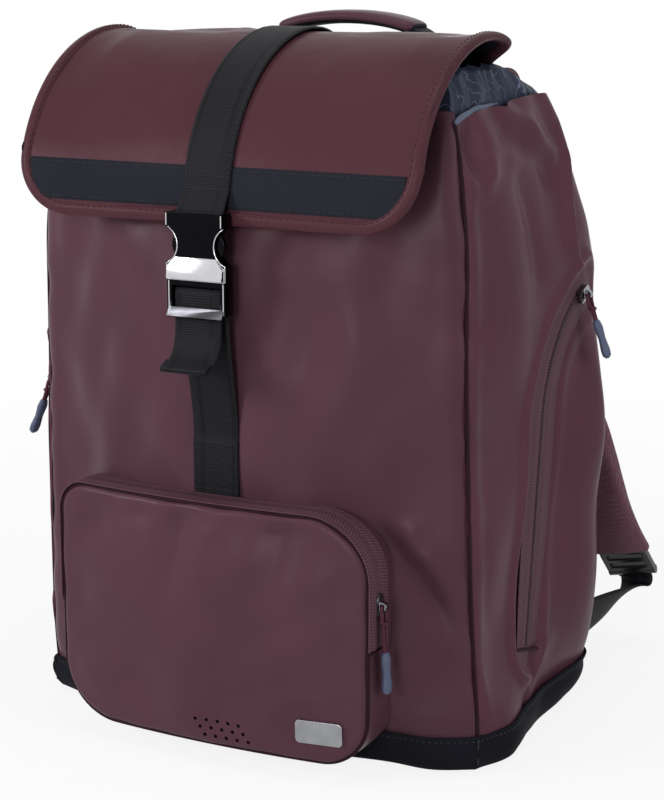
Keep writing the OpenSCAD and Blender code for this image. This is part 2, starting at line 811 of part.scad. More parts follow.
module flap_band() {
    color(black_cloth)
        intersection() {
            flap_layer(fold_t + fold_gap_t, 1, flap_t, flap_t + band_t, flap_w, flap_n);
            drop_block(binding_w);
            to_front(flap_front / 2, body_d)
                translate([-flap_w, band_z])
                    square([2 * flap_w, band_h]);
        }
}

// Buckle: drawn about the middle of its split, the back face at y = 0 and the front towards -y
buckle_off = 1.2;
buckle_at = [0, flap_front - flap_t - binding_proud - strap_t - buckle_off, flap_edge_z - buckle_drop];
plate_back = 2;
cavity = 5;
plate_front = 2.2;
buckle_t = plate_back + cavity + plate_front;
socket_mid = plate_back + cavity / 2;
socket_side = 2.5;
socket_inner = buckle_w / 2 - socket_side;
arm_w = 3;
strap_room = 0.3;
bar_r = 2.4;
bar_z = buckle_drop + 4;
socket_top = bar_z + bar_r + 1.6;
waist_z = 20.5;
waist_r = 12;
wall_top = 9.5;
shoulder_h = 2;
shoulder_cut = 3;
throat_z = 28.5;
slot_z = throat_z + 3;
rail_t = 2;

module socket_outline() {
    slot_w = strap_w + 2 * strap_room;
    top_w = slot_w + 2 * arm_w;
    difference() {
        union() {
            translate([-buckle_w / 2, 0]) square([buckle_w, wall_top + shoulder_h]);
            translate([-top_w / 2, wall_top]) square([top_w, socket_top - wall_top]);
        }
        for (s = [-1, 1])
            translate([s * (waist_w / 2 + waist_r), waist_z]) circle(waist_r, $fn = 64);
        for (s = [-1, 1])
            translate([s * buckle_w / 2, wall_top + shoulder_h])
                rotate([0, 0, 45])
                    square(shoulder_cut, center = true);
        translate([-slot_w / 2, slot_z]) square([slot_w, socket_top]);
    }
}

// Bright bevelled plate on the lower half of the socket's face
facet_h = 12.6;
facet_w = buckle_w - 2;
facet_t = 2.6;
facet_z = 0.6;

module socket_facet() {
    intersection() {
        across_x(facet_w) polygon([
            [-buckle_t, facet_z], [-buckle_t - facet_t, facet_z], [-buckle_t - facet_t, facet_z + 1.6],
            [-buckle_t - 0.4, facet_z + facet_h], [-buckle_t, facet_z + facet_h]
        ]);
        to_front(0, 2 * buckle_t) polygon([
            [-facet_w / 2, 0], [facet_w / 2, 0], [facet_w / 2, facet_h - 5], [waist_w / 2 + 1, facet_h + 1],
            [-waist_w / 2 - 1, facet_h + 1], [-facet_w / 2, facet_h - 5]
        ]);
    }
}

// A rail across the top stands in front of the strap's loop and ties the two arms
module socket_rail() {
    slot_w = strap_w + 2 * strap_room;
    rail_h = socket_top - slot_z;
    translate([-slot_w / 2 - arm_w, -buckle_t - rail_t, slot_z])
        cube([slot_w + 2 * arm_w, rail_t - strap_room, rail_h]);
    for (s = [-1, 1])
        translate([s * (slot_w + arm_w) / 2 - arm_w / 2, -buckle_t - rail_t, slot_z])
            cube([arm_w, 2 * rail_t, rail_h]);
}

// The cavity is open at the split for the tongue and at the waist for the ears
module socket_cavity() {
    y = -plate_back - cavity;
    translate([-buckle_w, y, wall_top]) cube([2 * buckle_w, cavity, throat_z - wall_top]);
    translate([-socket_inner, y, -1]) cube([2 * socket_inner, cavity, wall_top + 2]);
}

// Round bar across the buckle, let into both side arms
module web_bar(y, z, w, r) {
    translate([-w / 2, y, z]) rotate([0, 90, 0]) cylinder(h = w, r = r, $fn = 48);
}

module buckle_socket() {
    color(gunmetal)
        translate(buckle_at) {
            difference() {
                to_front(0, buckle_t) socket_outline();
                socket_cavity();
            }
            socket_facet();
            socket_rail();
            web_bar(-socket_mid, bar_z, strap_w + 2 * strap_room + 0.4, bar_r);
        }
}

// The centre strap lies on the flap and loops round the socket's bar
strap_end_t = 0.955;
loop_r = bar_r + 0.2;

module flap_strap() {
    in = flap_t + band_t + lay / 4;
    out = in + strap_t;
    end_in = beside(flap_curve, strap_end_t, in);
    end_out = beside(flap_curve, strap_end_t, out);
    c = [buckle_at[1] - socket_mid, buckle_at[2] + bar_z];
    color(black_web)
        union() {
            flap_layer(fold_t + fold_gap_t, strap_end_t, in, out, strap_w, flap_n);
            across_x(strap_w)
                difference() {
                    union() {
                        translate(c) circle(loop_r + strap_t, $fn = 48);
                        polygon([end_out, end_in, c + [loop_r + strap_t, 0], c + [-loop_r, loop_r]]);
                    }
                    translate(c) circle(loop_r, $fn = 48);
                }
        }
}

// Tongue: a frame with a ladder bar and a flared lip, and a guide that enters the socket
ladder_r = 1.8;
ladder_y = -4;
ladder_z = -8;
web_r = ladder_r + 0.2;
split_gap = 0.4;
cheek_room = 0.6;
top_rail = 3.1;
low_rail = 4;
guide_l = 16;
ear_z = waist_z;
ear_r = 9.5;
ear_hook = 0.5;
ear_x = socket_inner + ear_hook - ear_r;
ear_t = cavity - 1.2;
prong_x = 7;
prong_w = 4;
guide_w = 2 * (prong_x - ear_travel - play);

module tongue_frame() {
    rail_x = strap_w / 2 + cheek_room;
    low_z = -split_gap - tongue_h;
    web_front = ladder_y - web_r - strap_t - strap_room;
    difference() {
        translate([-buckle_w / 2, -buckle_t, low_z]) cube([buckle_w, buckle_t, tongue_h]);
        translate([-rail_x, web_front, low_z - 1]) cube([2 * rail_x, buckle_t, tongue_h + 1 - top_rail]);
        translate([-rail_x, -2 * buckle_t, low_z + low_rail])
            cube([2 * rail_x, 3 * buckle_t, tongue_h - low_rail - top_rail]);
    }
    web_bar(ladder_y, ladder_z, 2 * rail_x + 0.4, ladder_r);
}

module tongue_lip() {
    lip_top = low_rail - tongue_h - split_gap;
    lip_low = -tongue_h - split_gap;
    across_x(buckle_w - 2) polygon([
        [0.5 - buckle_t, lip_top], [-buckle_t, lip_top], [-buckle_t - 3, lip_low - 1.2],
        [-buckle_t - 2, lip_low - 2], [0.5 - buckle_t, lip_low + 0.4]
    ]);
}

module buckle_tongue() {
    color(gunmetal)
        translate(buckle_at) {
            tongue_frame();
            tongue_lip();
            translate([-guide_w / 2, -socket_mid - ear_t / 2, -split_gap - 0.2])
                cube([guide_w, ear_t, guide_l + split_gap + 0.2]);
        }
}

module release_ear() {
    hook_z = wall_top + 2 * play;
    translate(buckle_at)
        to_front(ear_t / 2 - socket_mid, ear_t) {
            translate([prong_x, 0]) square([prong_w, ear_z]);
            intersection() {
                translate([ear_x, ear_z]) circle(ear_r, $fn = 64);
                translate([prong_x, hook_z]) square([ear_r * 2, throat_z - 2 * play - hook_z]);
            }
        }
}

module right_release_ear() {
    color(gunmetal) release_ear();
}

module left_release_ear() {
    color(gunmetal) mirror([1, 0, 0]) release_ear();
}

// Front strap: sewn up to the stitch line, then free up to the ladder bar and round it
sewn_y = panel_y(0, stitch_z) - lay / 2;
stitch_gap = 0.15;
pocket_gap = 1;

module sewn_strap() {
    low_z = pocket_top + pocket_pipe_r + pocket_gap;
    color(black_web)
        translate([-strap_w / 2, sewn_y - strap_t, low_z])
            cube([strap_w, strap_t, stitch_z - low_z - stitch_gap]);
}

free_y = sewn_y - play;
stitch_axis = [free_y - strap_t - play / 2, stitch_z];
ladder_c = [buckle_at[1] + ladder_y, buckle_at[2] + ladder_z];
web_back = ladder_c[0] + web_r + strap_t;
rise_curve = [
    [free_y, stitch_z + stitch_gap], [free_y, stitch_z + 30],
    [web_back, ladder_c[1] - 42], [web_back, ladder_c[1]]
];
tail_top = buckle_at[2] - tongue_h - 4.5;

module front_strap() {
    color(black_web)
        union() {
            across_x(strap_w) polygon(band(rise_curve, 0, 1, 0, -strap_t, 12));
            across_x(strap_w)
                difference() {
                    union() {
                        translate(ladder_c) circle(web_r + strap_t, $fn = 48);
                        translate([tail_y, tail_top + play])
                            square([strap_t, ladder_c[1] - tail_top - play]);
                    }
                    translate(ladder_c) circle(web_r, $fn = 48);
                    translate(ladder_c - [web_r, 2 * web_r + strap_t])
                        square(2 * web_r + strap_t);
                }
        }
}

// The loose tail hangs under the lip and kicks forward to its folded end
tail_y = ladder_c[0] - web_r - strap_t;
tail_curve = [
    [tail_y, tail_top], [tail_y, tail_top - tail_l * 0.5],
    [tail_y - 3, tail_top - tail_l * 0.7], [tail_y - 17, tail_top - tail_l * 0.92]
];

tail_fold_t = 0.78;

module strap_tail() {
    color(black_web)
        across_x(strap_w) polygon(concat(
            [for (t = steps(0, 1, 12)) beside(tail_curve, t, 0)],
            [for (t = steps(1, tail_fold_t, 3)) beside(tail_curve, t, -2 * strap_t)],
            [for (t = steps(tail_fold_t, 0, 9)) beside(tail_curve, t, -strap_t)]
        ));
}

// Handle: an arch of webbing with a wrapped grip, on two sewn anchors
anchor_t = 2;
anchor_l = 24;
anchor_w = handle_w - 6;
seat_t = 0.55;
seat_way = slope(yoke_curve, seat_t);
seat_tilt = atan2(-seat_way[1], -seat_way[0]);
foot_gap = 1.8;
foot_swell = 14;
handle_seat = yoke_pt(handle_span / 2 / yoke_half_w, seat_t, -lay);
handle_y = handle_seat[1];
handle_z = handle_seat[2] + anchor_t + foot_gap;
handle_peak = handle_z + handle_rise * 4 / 3;
handle_curve = [
    [-handle_span / 2, handle_z], [-handle_span / 2 - foot_swell, handle_peak],
    [handle_span / 2 + foot_swell, handle_peak], [handle_span / 2, handle_z]
];
handle_axis = [0, handle_y + handle_w / 2, handle_z - play];

module handle_anchors() {
    color(black_web)
        for (s = [-1, 1])
            translate([s * handle_span / 2 - anchor_l / 2, handle_y, handle_seat[2]])
                rotate([seat_tilt, 0, 0])
                    translate([0, -anchor_w / 2, 0])
                        cube([anchor_l, anchor_w, anchor_t]);
}

module handle_arch(t0, t1, in, out, w, n) {
    to_front(handle_y + w / 2, w) polygon(band(handle_curve, t0, t1, in, out, n));
}

handle_half_t = 1.5;
wrap_over = 8;
wrap_from = 0.23;

module handle_webbing() {
    color(black_web)
        handle_arch(0, 1, -handle_half_t, handle_half_t, handle_w, 20);
}

module handle_grip() {
    hole_t = handle_half_t + seam_gap;
    half_t = handle_grip_t / 2;
    color(burgundy)
        difference() {
            handle_arch(wrap_from, 1 - wrap_from, -half_t, half_t, handle_w + wrap_over, 14);
            handle_arch(0, 1, -hole_t, hole_t, handle_w + 2 * seam_gap, 20);
        }
}

// Shoulder strap, drawn on the right and mirrored to the left
strap_back = back_y(rim_z);
pad_path = [
    [48, strap_back + 13.5, rim_z + 4], [56, strap_back + 97, rim_z - 8],
    [130, body_d / 2 - 22, rim_z / 2 - 15], [151, body_d / 2 + 66, 74]
];
pad_axis = [0, pad_path[0][1], pad_path[0][2] + pad_t / 2 + play];
pad_t0 = 0.012;
pad_rows = 14;
pad_wide = [1, 0, 0.2];
pad_edge = 0.62;
function pad_half_w(t) = pad_w / 2 - 6 * t * t;
function pad_half_t(t) = pad_t / 2 - 1.5 * pow(t, 3) - 1.2 * pow(1 - t, 6);
function pad_loop(t) = bar_loop(
    curve(pad_path, t), unit(slope(pad_path, t)), pad_wide,
    pad_half_w(t), pad_half_t(t), pad_half_t(t) * pad_edge
);

module shoulder_pad() {
    color(burgundy)
        sweep_solid([for (t = steps(pad_t0, 1, pad_rows)) pad_loop(t)]);
}

// The root is sewn into the back panel's upper seam and reaches back to the pad
root_half_t = 3;
root_x = pad_path[0][0] - 1;
root_z = pad_path[0][2] - 3;
root_half_w = pad_w / 2 - 2;
root_s = (root_x - root_half_w) / (half_w(root_z - root_half_t) - back_corner);
root_y = back_pt(root_s, root_z - root_half_t, 0)[1] + lay / 2;

module strap_root() {
    ends = [[root_y, root_z, root_half_t], [pad_path[0][1] - play, pad_path[0][2], pad_half_t(0)]];
    color(burgundy)
        sweep_solid([for (e = ends)
            bar_loop([root_x, e[0], e[1]], [0, 1, 0], [1, 0, 0], root_half_w, e[2], root_half_t / 2)]);
}

// Ladder lock at the pad's lower end: Z runs on along the strap, X across it
lock_w = web_w + 10;
lock_l = 28;
lock_t = 5;
lock_dir = unit(slope(pad_path, 1));
lock_wide = across_of(lock_dir, pad_wide);
lock_out = cross(lock_dir, lock_wide);
lock_at = pad_path[3] + lock_dir * lay;
lock_slots = [4, 12.5];
lock_slot_h = 5.5;
lock_lip = 4;

module lock_frame() {
    multmatrix([
        [lock_wide[0], lock_out[0], lock_dir[0], lock_at[0]],
        [lock_wide[1], lock_out[1], lock_dir[1], lock_at[1]],
        [lock_wide[2], lock_out[2], lock_dir[2], lock_at[2]],
        [0, 0, 0, 1]
    ])
        children();
}

module ladder_lock() {
    slot_w = web_w + 1.5;
    color(black_web)
        lock_frame()
            difference() {
                union() {
                    translate([-lock_w / 2, -lock_t / 2, 0]) cube([lock_w, lock_t, lock_l - lock_lip]);
                    web_bar(0, lock_l - lock_lip, lock_w, lock_t / 2 + 0.8);
                }
                for (z = lock_slots)
                    translate([-slot_w / 2, -lock_t, z]) cube([slot_w, 2 * lock_t, lock_slot_h]);
                translate([-slot_w / 2, -lock_t, lock_l - lock_lip - 3]) cube([slot_w, lock_t, 3]);
            }
}

// Adjuster webbing from the lock down to the tab, turning on edge as it goes
web_t = 1.6;
tab_half_t = 1.5;
tab_reach = 16;
tab_z = 37;
tab_half_h = web_w / 2 + 1.5;
tab_rise = (back_y(tab_z + tab_half_h) - back_y(tab_z - tab_half_h)) / (2 * tab_half_h);
tab_along = unit([0, 1, -tab_rise]);
tab_from = [half_w(tab_z) - back_corner + 1, back_y(tab_z) + lay + tab_rise, tab_z];
tab_end = tab_from + tab_along * tab_reach + [1, 0, 0];
web_from = lock_at + lock_dir * (lock_l + play);
web_end = tab_end + tab_along * lay;
web_path = [web_from, web_from + lock_dir * 18, web_end + tab_along * 36, web_end];
function web_wide(t) = unit((1 - t) * lock_wide + t * [0, 0, 1]);

module webbing() {
    color(black_web)
        sweep_solid([for (t = steps(0, 1, 12))
            bar_loop(curve(web_path, t), unit(slope(web_path, t)), web_wide(t), web_w / 2, web_t / 2, 0.3)]);
}

module strap_tab() {
    color(black_cloth)
        sweep_solid([for (p = [tab_from, tab_end])
            bar_loop(p, tab_along, [0, 0, 1], tab_half_h, tab_half_t, tab_half_t / 4)]);
}

module left() {
    mirror([1, 0, 0]) children();
}

module right_strap_root() { strap_root(); }
module right_shoulder_pad() { shoulder_pad(); }
module right_ladder_lock() { ladder_lock(); }
module right_webbing() { webbing(); }
module right_strap_tab() { strap_tab(); }
module left_strap_root() { left() strap_root(); }
module left_shoulder_pad() { left() shoulder_pad(); }
module left_ladder_lock() { left() ladder_lock(); }
module left_webbing() { left() webbing(); }
module left_strap_tab() { left() strap_tab(); }

// Axes of the joints, for the record
echo(flap_hinge = fold_axis, front_strap_swing = stitch_axis, tail_swing = [tail_y - play / 2, tail_top]);
echo(handle_fold = handle_axis, shoulder_swing = pad_axis, right_zip_slide = bend_c, ear_press = ear_travel);
echo(pull_swings = [for (p = [pocket_slider_at, right_slider_at, left_slider_at]) p], outward = bail_z);

front_panel();
left_gusset();
right_gusset();
back_panel();
base_boot();
bottom_board();
back_frame_sheet();
device_sleeve();
top_yoke();
lining_collar();
left_piping();
right_piping();
pocket_face();
pocket_gusset();
pocket_zip_tape();
pocket_zip_coil();
pocket_piping();
pocket_plate();
right_zip_tape();
right_zip_coil();
left_zip_tape();
left_zip_coil();
flap_root();
flap_panel();
flap_binding();
flap_band();
flap_strap();
buckle_socket();
sewn_strap();
front_strap();
buckle_tongue();
left_release_ear();
right_release_ear();
strap_tail();
handle_anchors();
handle_webbing();
handle_grip();
pocket_slider();
pocket_pull_cord();
pocket_pull_grip();
right_slider();
right_pull_cord();
right_pull_grip();
left_slider();
left_pull_cord();
left_pull_grip();
left_strap_root();
left_shoulder_pad();
left_ladder_lock();
left_webbing();
left_strap_tab();
right_strap_root();
right_shoulder_pad();
right_ladder_lock();
right_webbing();
right_strap_tab();
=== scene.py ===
# %% [markdown]
# # A travel backpack in coated fabric
# This lesson dresses a imported CAD model of a backpack. The CAD holds the joints and the sizes, and
# everything that is cloth on the real bag is laid again here as cloth. Pieces and patterns are laid in
# millimetres, which become metres at the moment a mesh or a scale is written. Camera, floor and lamps are
# in metres.

# %% Load the frame
import math
import bpy
import numpy as np
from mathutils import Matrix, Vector


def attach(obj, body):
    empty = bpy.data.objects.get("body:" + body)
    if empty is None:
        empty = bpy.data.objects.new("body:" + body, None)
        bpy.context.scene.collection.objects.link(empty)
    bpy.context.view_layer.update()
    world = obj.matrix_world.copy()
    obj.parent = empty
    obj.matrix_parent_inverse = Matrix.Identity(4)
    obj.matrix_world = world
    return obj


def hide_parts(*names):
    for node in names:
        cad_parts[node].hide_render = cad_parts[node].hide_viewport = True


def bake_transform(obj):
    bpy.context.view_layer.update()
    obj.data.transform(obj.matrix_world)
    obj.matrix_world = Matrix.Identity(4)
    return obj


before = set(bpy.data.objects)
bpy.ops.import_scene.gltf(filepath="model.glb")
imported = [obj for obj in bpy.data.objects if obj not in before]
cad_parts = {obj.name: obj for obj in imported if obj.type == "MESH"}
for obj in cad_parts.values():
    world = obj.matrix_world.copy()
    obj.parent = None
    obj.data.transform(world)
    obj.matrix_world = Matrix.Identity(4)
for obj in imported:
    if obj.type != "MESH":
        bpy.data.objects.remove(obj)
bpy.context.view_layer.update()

MM = 0.001  # metres in a millimetre

# %% [markdown]
# ## Camera, floor and studio light
# The camera stands to the right of the bag's front, a little above it. Its place was solved from points
# whose sizes are known. The floor is white to the camera and to mirrors, and stays a plain pale surface
# for the light.


# %% Functions for colours and nodes
def linear(colour):
    """sRGB hex to the linear values that a shader works in."""
    channels = [int(colour[i:i + 2], 16) / 255 for i in (1, 3, 5)]
    return [c / 12.92 if c <= 0.04045 else ((c + 0.055) / 1.055) ** 2.4 for c in channels] + [1]


def add(tree, kind, sockets=None, **settings):
    """Adds a node; a socket takes a value, another node's output, or a node for its first output."""
    node = tree.nodes.new(kind)
    for key, value in settings.items():
        setattr(node, key, value)
    for key, value in (sockets or {}).items():
        value = value.outputs[0] if isinstance(value, bpy.types.Node) else value
        if isinstance(value, bpy.types.NodeSocket):
            tree.links.new(value, node.inputs[key])
        else:
            node.inputs[key].default_value = value
    return node


def emptied(owner):
    """The node tree of a material or a world, with nothing in it."""
    owner.use_nodes = True
    owner.node_tree.nodes.clear()
    return owner.node_tree


# %% Camera
bpy.ops.object.select_all(action="DESELECT")
eye = Vector((0.633, -1.173, 0.488))
aim = Vector((0.0023, 0.0037, 0.198))
bpy.ops.object.camera_add(location=eye, rotation=(aim - eye).to_track_quat("-Z", "Y").to_euler())
camera = bpy.context.object
camera.data.lens = 92.2
camera.data.sensor_width = 36
bpy.context.scene.camera = camera
bpy.context.scene.view_settings.view_transform = "Standard"
print("camera looks from", tuple(round(c, 3) for c in eye))


# %% Floor
def seen_directly(tree):
    """1 for rays from the camera and for mirror and glass rays, which should find a white studio."""
    path = add(tree, "ShaderNodeLightPath").outputs
    rays = {0: path["Is Glossy Ray"], 1: path["Is Transmission Ray"]}
    mirror = add(tree, "ShaderNodeMath", rays, operation="MAXIMUM")
    return add(tree, "ShaderNodeMath", {0: path["Is Camera Ray"], 1: mirror}, operation="MAXIMUM")


bpy.ops.mesh.primitive_plane_add(size=300)
floor = bpy.context.object
floor.name = "studio_floor"
paint = bpy.data.materials.new("white_studio_floor")
tree = emptied(paint)
matt = add(tree, "ShaderNodeBsdfDiffuse", {"Color": linear("#e6e6e6")})
glow = add(tree, "ShaderNodeEmission", {"Color": linear("#ffffff"), "Strength": 1.0})
where = add(tree, "ShaderNodeTexCoord").outputs["Object"]
reach = add(tree, "ShaderNodeVectorMath", {0: where}, operation="LENGTH").outputs["Value"]
whiter = add(tree, "ShaderNodeMapRange", {"Value": reach, "From Min": 0.2, "From Max": 1.1, "To Min": 0.86})
share = add(tree, "ShaderNodeMath", {0: seen_directly(tree), 1: whiter}, operation="MULTIPLY")
mixed = add(tree, "ShaderNodeMixShader", {0: share, 1: matt, 2: glow})
add(tree, "ShaderNodeOutputMaterial", {"Surface": mixed})
floor.data.materials.append(paint)
print("floor laid")

# %% World and lamps
world = bpy.data.worlds.new("white_studio")
bpy.context.scene.world = world
tree = emptied(world)
soft = add(tree, "ShaderNodeBackground", {"Color": linear("#ffffff"), "Strength": 0.2})
white = add(tree, "ShaderNodeBackground", {"Color": linear("#ffffff"), "Strength": 1.0})
mixed = add(tree, "ShaderNodeMixShader", {0: seen_directly(tree), 1: soft, 2: white})
add(tree, "ShaderNodeOutputWorld", {"Surface": mixed})


def softbox(name, place, aim_at, size, watts):
    bpy.ops.object.light_add(type="AREA", location=place)
    lamp = bpy.context.object
    lamp.name = name
    lamp.rotation_euler = (Vector(aim_at) - Vector(place)).to_track_quat("-Z", "Y").to_euler()
    lamp.data.shape = "RECTANGLE"
    lamp.data.size, lamp.data.size_y = size
    lamp.data.energy = watts


softbox("key_softbox", (-1.35, -1.5, 0.95), (0, 0, 0.22), (0.45, 0.6), 24)
softbox("front_softbox", (0.4, -2.1, 0.7), (0, 0, 0.22), (0.45, 0.9), 17)
softbox("right_softbox", (1.9, -0.15, 0.9), (0, 0, 0.25), (1.0, 1.4), 13)
softbox("back_softbox", (-0.5, 1.9, 0.35), (0, 0, 0.22), (1.0, 0.6), 6)
softbox("top_softbox", (0, -0.3, 2.1), (0, 0, 0.3), (0.9, 0.6), 12)
print("white world and five softboxes set")

# %% [markdown]
# ## Tools for cloth
# A real bag is cut flat and sewn. Here a flat grid is added and each of its vertices is laid where the
# pattern says, so a panel starts from one primitive and keeps a UV map in millimetres for its weave. A
# second tool sweeps a section along a path, for webbing, piping and cord. A third repeats one small
# model, for stitches and zip teeth.


# %% Lay a grid
def only(piece):
    """Selects one piece and nothing else."""
    bpy.ops.object.select_all(action="DESELECT")
    piece.select_set(True)
    bpy.context.view_layer.objects.active = piece


def shape(piece, kind, **settings):
    """Adds a modifier and applies it."""
    only(piece)
    step = piece.modifiers.new(kind, kind)
    for key, value in settings.items():
        setattr(step, key, value)
    bpy.ops.object.modifier_apply(modifier=step.name)
    return piece


def smooth(piece, angle=45):
    """Smooth shading, except over edges sharper than angle."""
    only(piece)
    bpy.ops.object.shade_smooth_by_angle(angle=math.radians(angle))
    return piece


def points_of(piece):
    flat = np.empty(3 * len(piece.data.vertices))
    piece.data.vertices.foreach_get("co", flat)
    return flat.reshape(-1, 3)


def weld(piece, gap=1e-6, fill=False, flatten=False):
    """Merges points that lie on each other, and can fill open ends and merge flat faces."""
    only(piece)
    bpy.ops.object.mode_set(mode="EDIT")
    bpy.ops.mesh.select_all(action="SELECT")
    bpy.ops.mesh.remove_doubles(threshold=gap)
    if fill:
        bpy.ops.mesh.fill_holes(sides=0)
    if flatten:
        bpy.ops.mesh.dissolve_limited(angle_limit=math.radians(1))
    bpy.ops.object.mode_set(mode="OBJECT")
    return piece


def unit(a):
    return a / np.maximum(np.linalg.norm(a, axis=-1, keepdims=True), 1e-9)


def cut(name, columns, rows, lay, swell=None, cloth=None):
    """A grid laid by lay(u, v) and swollen outwards by swell(points); cloth(u, v) is its UV in mm."""
    bpy.ops.object.select_all(action="DESELECT")
    bpy.ops.mesh.primitive_grid_add(x_subdivisions=columns, y_subdivisions=rows, size=1)
    piece = bpy.context.object
    piece.name = piece.data.name = name
    u, v = points_of(piece)[:, 0] + 0.5, points_of(piece)[:, 1] + 0.5
    p = lay(u, v)
    if swell is not None:
        lines = len(np.unique(np.round(v, 5)))
        sheet = p.reshape(lines, -1, 3)
        normal = np.cross(np.gradient(sheet, axis=1), np.gradient(sheet, axis=0)).reshape(-1, 3)
        p = p + unit(normal) * swell(p)[:, None]
    piece.data.vertices.foreach_set("co", (p * MM).ravel())
    if cloth is not None:
        layer = piece.data.uv_layers.active
        uv = np.empty(2 * len(piece.data.loops))
        layer.data.foreach_get("uv", uv)
        layer.data.foreach_set("uv", np.stack(cloth(uv[0::2], uv[1::2]), 1).ravel())
    piece.data.update()
    return piece


# %% Lengths along a path
def run_of(path):
    return np.r_[0, np.cumsum(np.linalg.norm(np.diff(path, axis=0), axis=1))]


def spaced(path, step, *others):
    """The path, and lists that go with it, at even steps along its length."""
    run = run_of(path)
    at = np.linspace(0, run[-1], max(2, int(round(run[-1] / step)) + 1))
    lists = [np.asarray(a) for a in (path,) + others]
    made = [np.stack([np.interp(at, run, a[:, i]) for i in range(3)], 1) for a in lists]
    return made if others else made[0]


# %% Sections and plain curves
def round_section(radius, sides=10, flat=1.0):
    a = np.arange(sides) * 2 * math.pi / sides
    return np.stack([radius * np.cos(a), radius * flat * np.sin(a)], 1)


def flat_section(width, thick):
    """Webbing: a flat section with rounded edges, counter-clockwise from its upper right."""
    w, t, c = width / 2, thick / 2, thick * 0.4
    upper = [(x, t) for x in np.linspace(w - c, c - w, 9)]
    lower = [(x, -t) for x in np.linspace(c - w, w - c, 9)]
    return np.array(upper + [(-w, t - c), (-w, c - t)] + lower + [(w, c - t), (w, t - c)])


def soft_oval(sides, power_x, power_y):
    """A section of half width and half thickness 1, between an oval and a box."""
    a = np.linspace(0, 2 * math.pi, sides + 1)[:-1]
    c, s = np.cos(a), np.sin(a)
    return np.stack([np.sign(c) * np.abs(c) ** power_x, np.sign(s) * np.abs(s) ** power_y], 1)


def upright(p, x=0.0):
    """Points (y, z) stood in the upright plane at x."""
    return np.stack([0 * p[:, 0] + x, p[:, 0], p[:, 1]], 1)


def arc(centre, radius, start, end, count):
    """Points on a circle in a plane, between two angles in degrees."""
    a = np.radians(np.linspace(start, end, count))
    return np.stack([centre[0] + radius * np.cos(a), centre[1] + radius * np.sin(a)], 1)


# %% Sweep a section
def sweep(name, path, wide, section, ring=False):
    """Carries a section along a path; wide is the way of the section's first axis."""
    path = np.asarray(path, float)
    n = len(path)
    section = np.broadcast_to(section, (n,) + np.shape(section)[-2:])
    k = section.shape[1]
    along = unit(np.roll(path, -1, 0) - np.roll(path, 1, 0) if ring else np.gradient(path, axis=0))
    side = np.broadcast_to(np.asarray(wide, float), path.shape)
    side = unit(side - (side * along).sum(1, keepdims=True) * along)
    up = np.cross(along, side)
    rows = n if ring else n - 1
    girth = run_of(np.vstack([section.mean(0), section.mean(0)[:1]]))
    reach = run_of(np.vstack([path, path[:1]]) if ring else path)

    def lay(u, v):
        i, j = np.rint(v * rows).astype(int) % n, np.rint(u * k).astype(int) % k
        return path[i] + section[i, j, :1] * side[i] + section[i, j, 1:] * up[i]

    def cloth(u, v):
        return np.interp(u * k, np.arange(k + 1), girth), np.interp(v * rows, np.arange(rows + 1), reach)

    return smooth(weld(cut(name, k, rows, lay, cloth=cloth), fill=not ring), 50)


# %% Repeat a small model
def repeat(name, model, places):
    """One mesh with a copy of model at each (centre, three axes), and the model removed."""
    v = points_of(model)
    faces = [tuple(f.vertices) for f in model.data.polygons]
    verts = np.concatenate([c + v @ np.asarray(axes) for c, axes in places]) * MM
    mesh = bpy.data.meshes.new(name)
    all_faces = [tuple(i + k * len(v) for i in f) for k in range(len(places)) for f in faces]
    mesh.from_pydata(verts.tolist(), [], all_faces)
    piece = bpy.data.objects.new(name, mesh)
    bpy.context.scene.collection.objects.link(piece)
    bpy.data.objects.remove(model)
    return smooth(piece, 60)


def stitches(name, path, up, size, body, thread):
    """A row of thread stitches along a path; size is a stitch's length, gap and half thickness."""
    length, gap, thick = size
    bpy.ops.object.select_all(action="DESELECT")
    bpy.ops.mesh.primitive_uv_sphere_add(segments=6, ring_count=4, radius=1)
    bead = bpy.context.object
    path, up = spaced(np.asarray(path, float), length + gap, np.broadcast_to(up, np.shape(path)))
    along = unit(np.gradient(path, axis=0))
    across = unit(np.cross(np.asarray(up, float), along))
    lift = np.cross(along, across)
    places = [(p, (a * length / 2, s * thick, n * thick)) for p, a, s, n in zip(path, along, across, lift)]
    return dress(repeat(name, bead, places), body, (), [thread])


# %% Hard pieces, thickness and hand-over
def cad_copy(node, name):
    """A copy of a CAD node's mesh, to be worked on."""
    piece = bpy.data.objects.new(name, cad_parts[node].data.copy())
    piece.data.materials.clear()
    bpy.context.scene.collection.objects.link(piece)
    return piece


def from_cad(node, name, bevel, slot, body, *finishes):
    """A hard piece takes its CAD shape, merged, with worn round edges, and stands for that node."""
    piece = weld(cad_copy(node, name), 1e-5, flatten=True)
    shape(piece, "BEVEL", width=bevel * MM, segments=3, limit_method="ANGLE", angle_limit=math.radians(32))
    return dress(smooth(piece, 35), body, [node], finishes)


def thicken(piece, thick, angle=45):
    """Gives a sheet its thickness, inwards."""
    return smooth(shape(piece, "SOLIDIFY", thickness=thick * MM, offset=-1), angle)


def lined(piece, thick, face, inside):
    """Gives a sheet its thickness, with another cloth on its inside."""
    piece.data.materials.append(face)
    piece.data.materials.append(inside)
    return smooth(shape(piece, "SOLIDIFY", thickness=thick * MM, offset=-1, material_offset=1))


def dress(piece, body=None, nodes=(), finishes=()):
    """Gives a finished piece its finishes and its body, and hides the CAD nodes it stands for."""
    for finish in finishes:
        piece.data.materials.append(finish)
    if nodes:
        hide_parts(*nodes)
    if body:
        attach(piece, body)
    print(piece.name, "faces:", len(piece.data.polygons))
    return piece


# %% [markdown]
# ## Soft unevenness
# Cloth is never a plain mathematical surface. A few small functions give broad waves, dents and creases
# in millimetres. They are sums of fixed waves and bells, so each run gives the same bag.


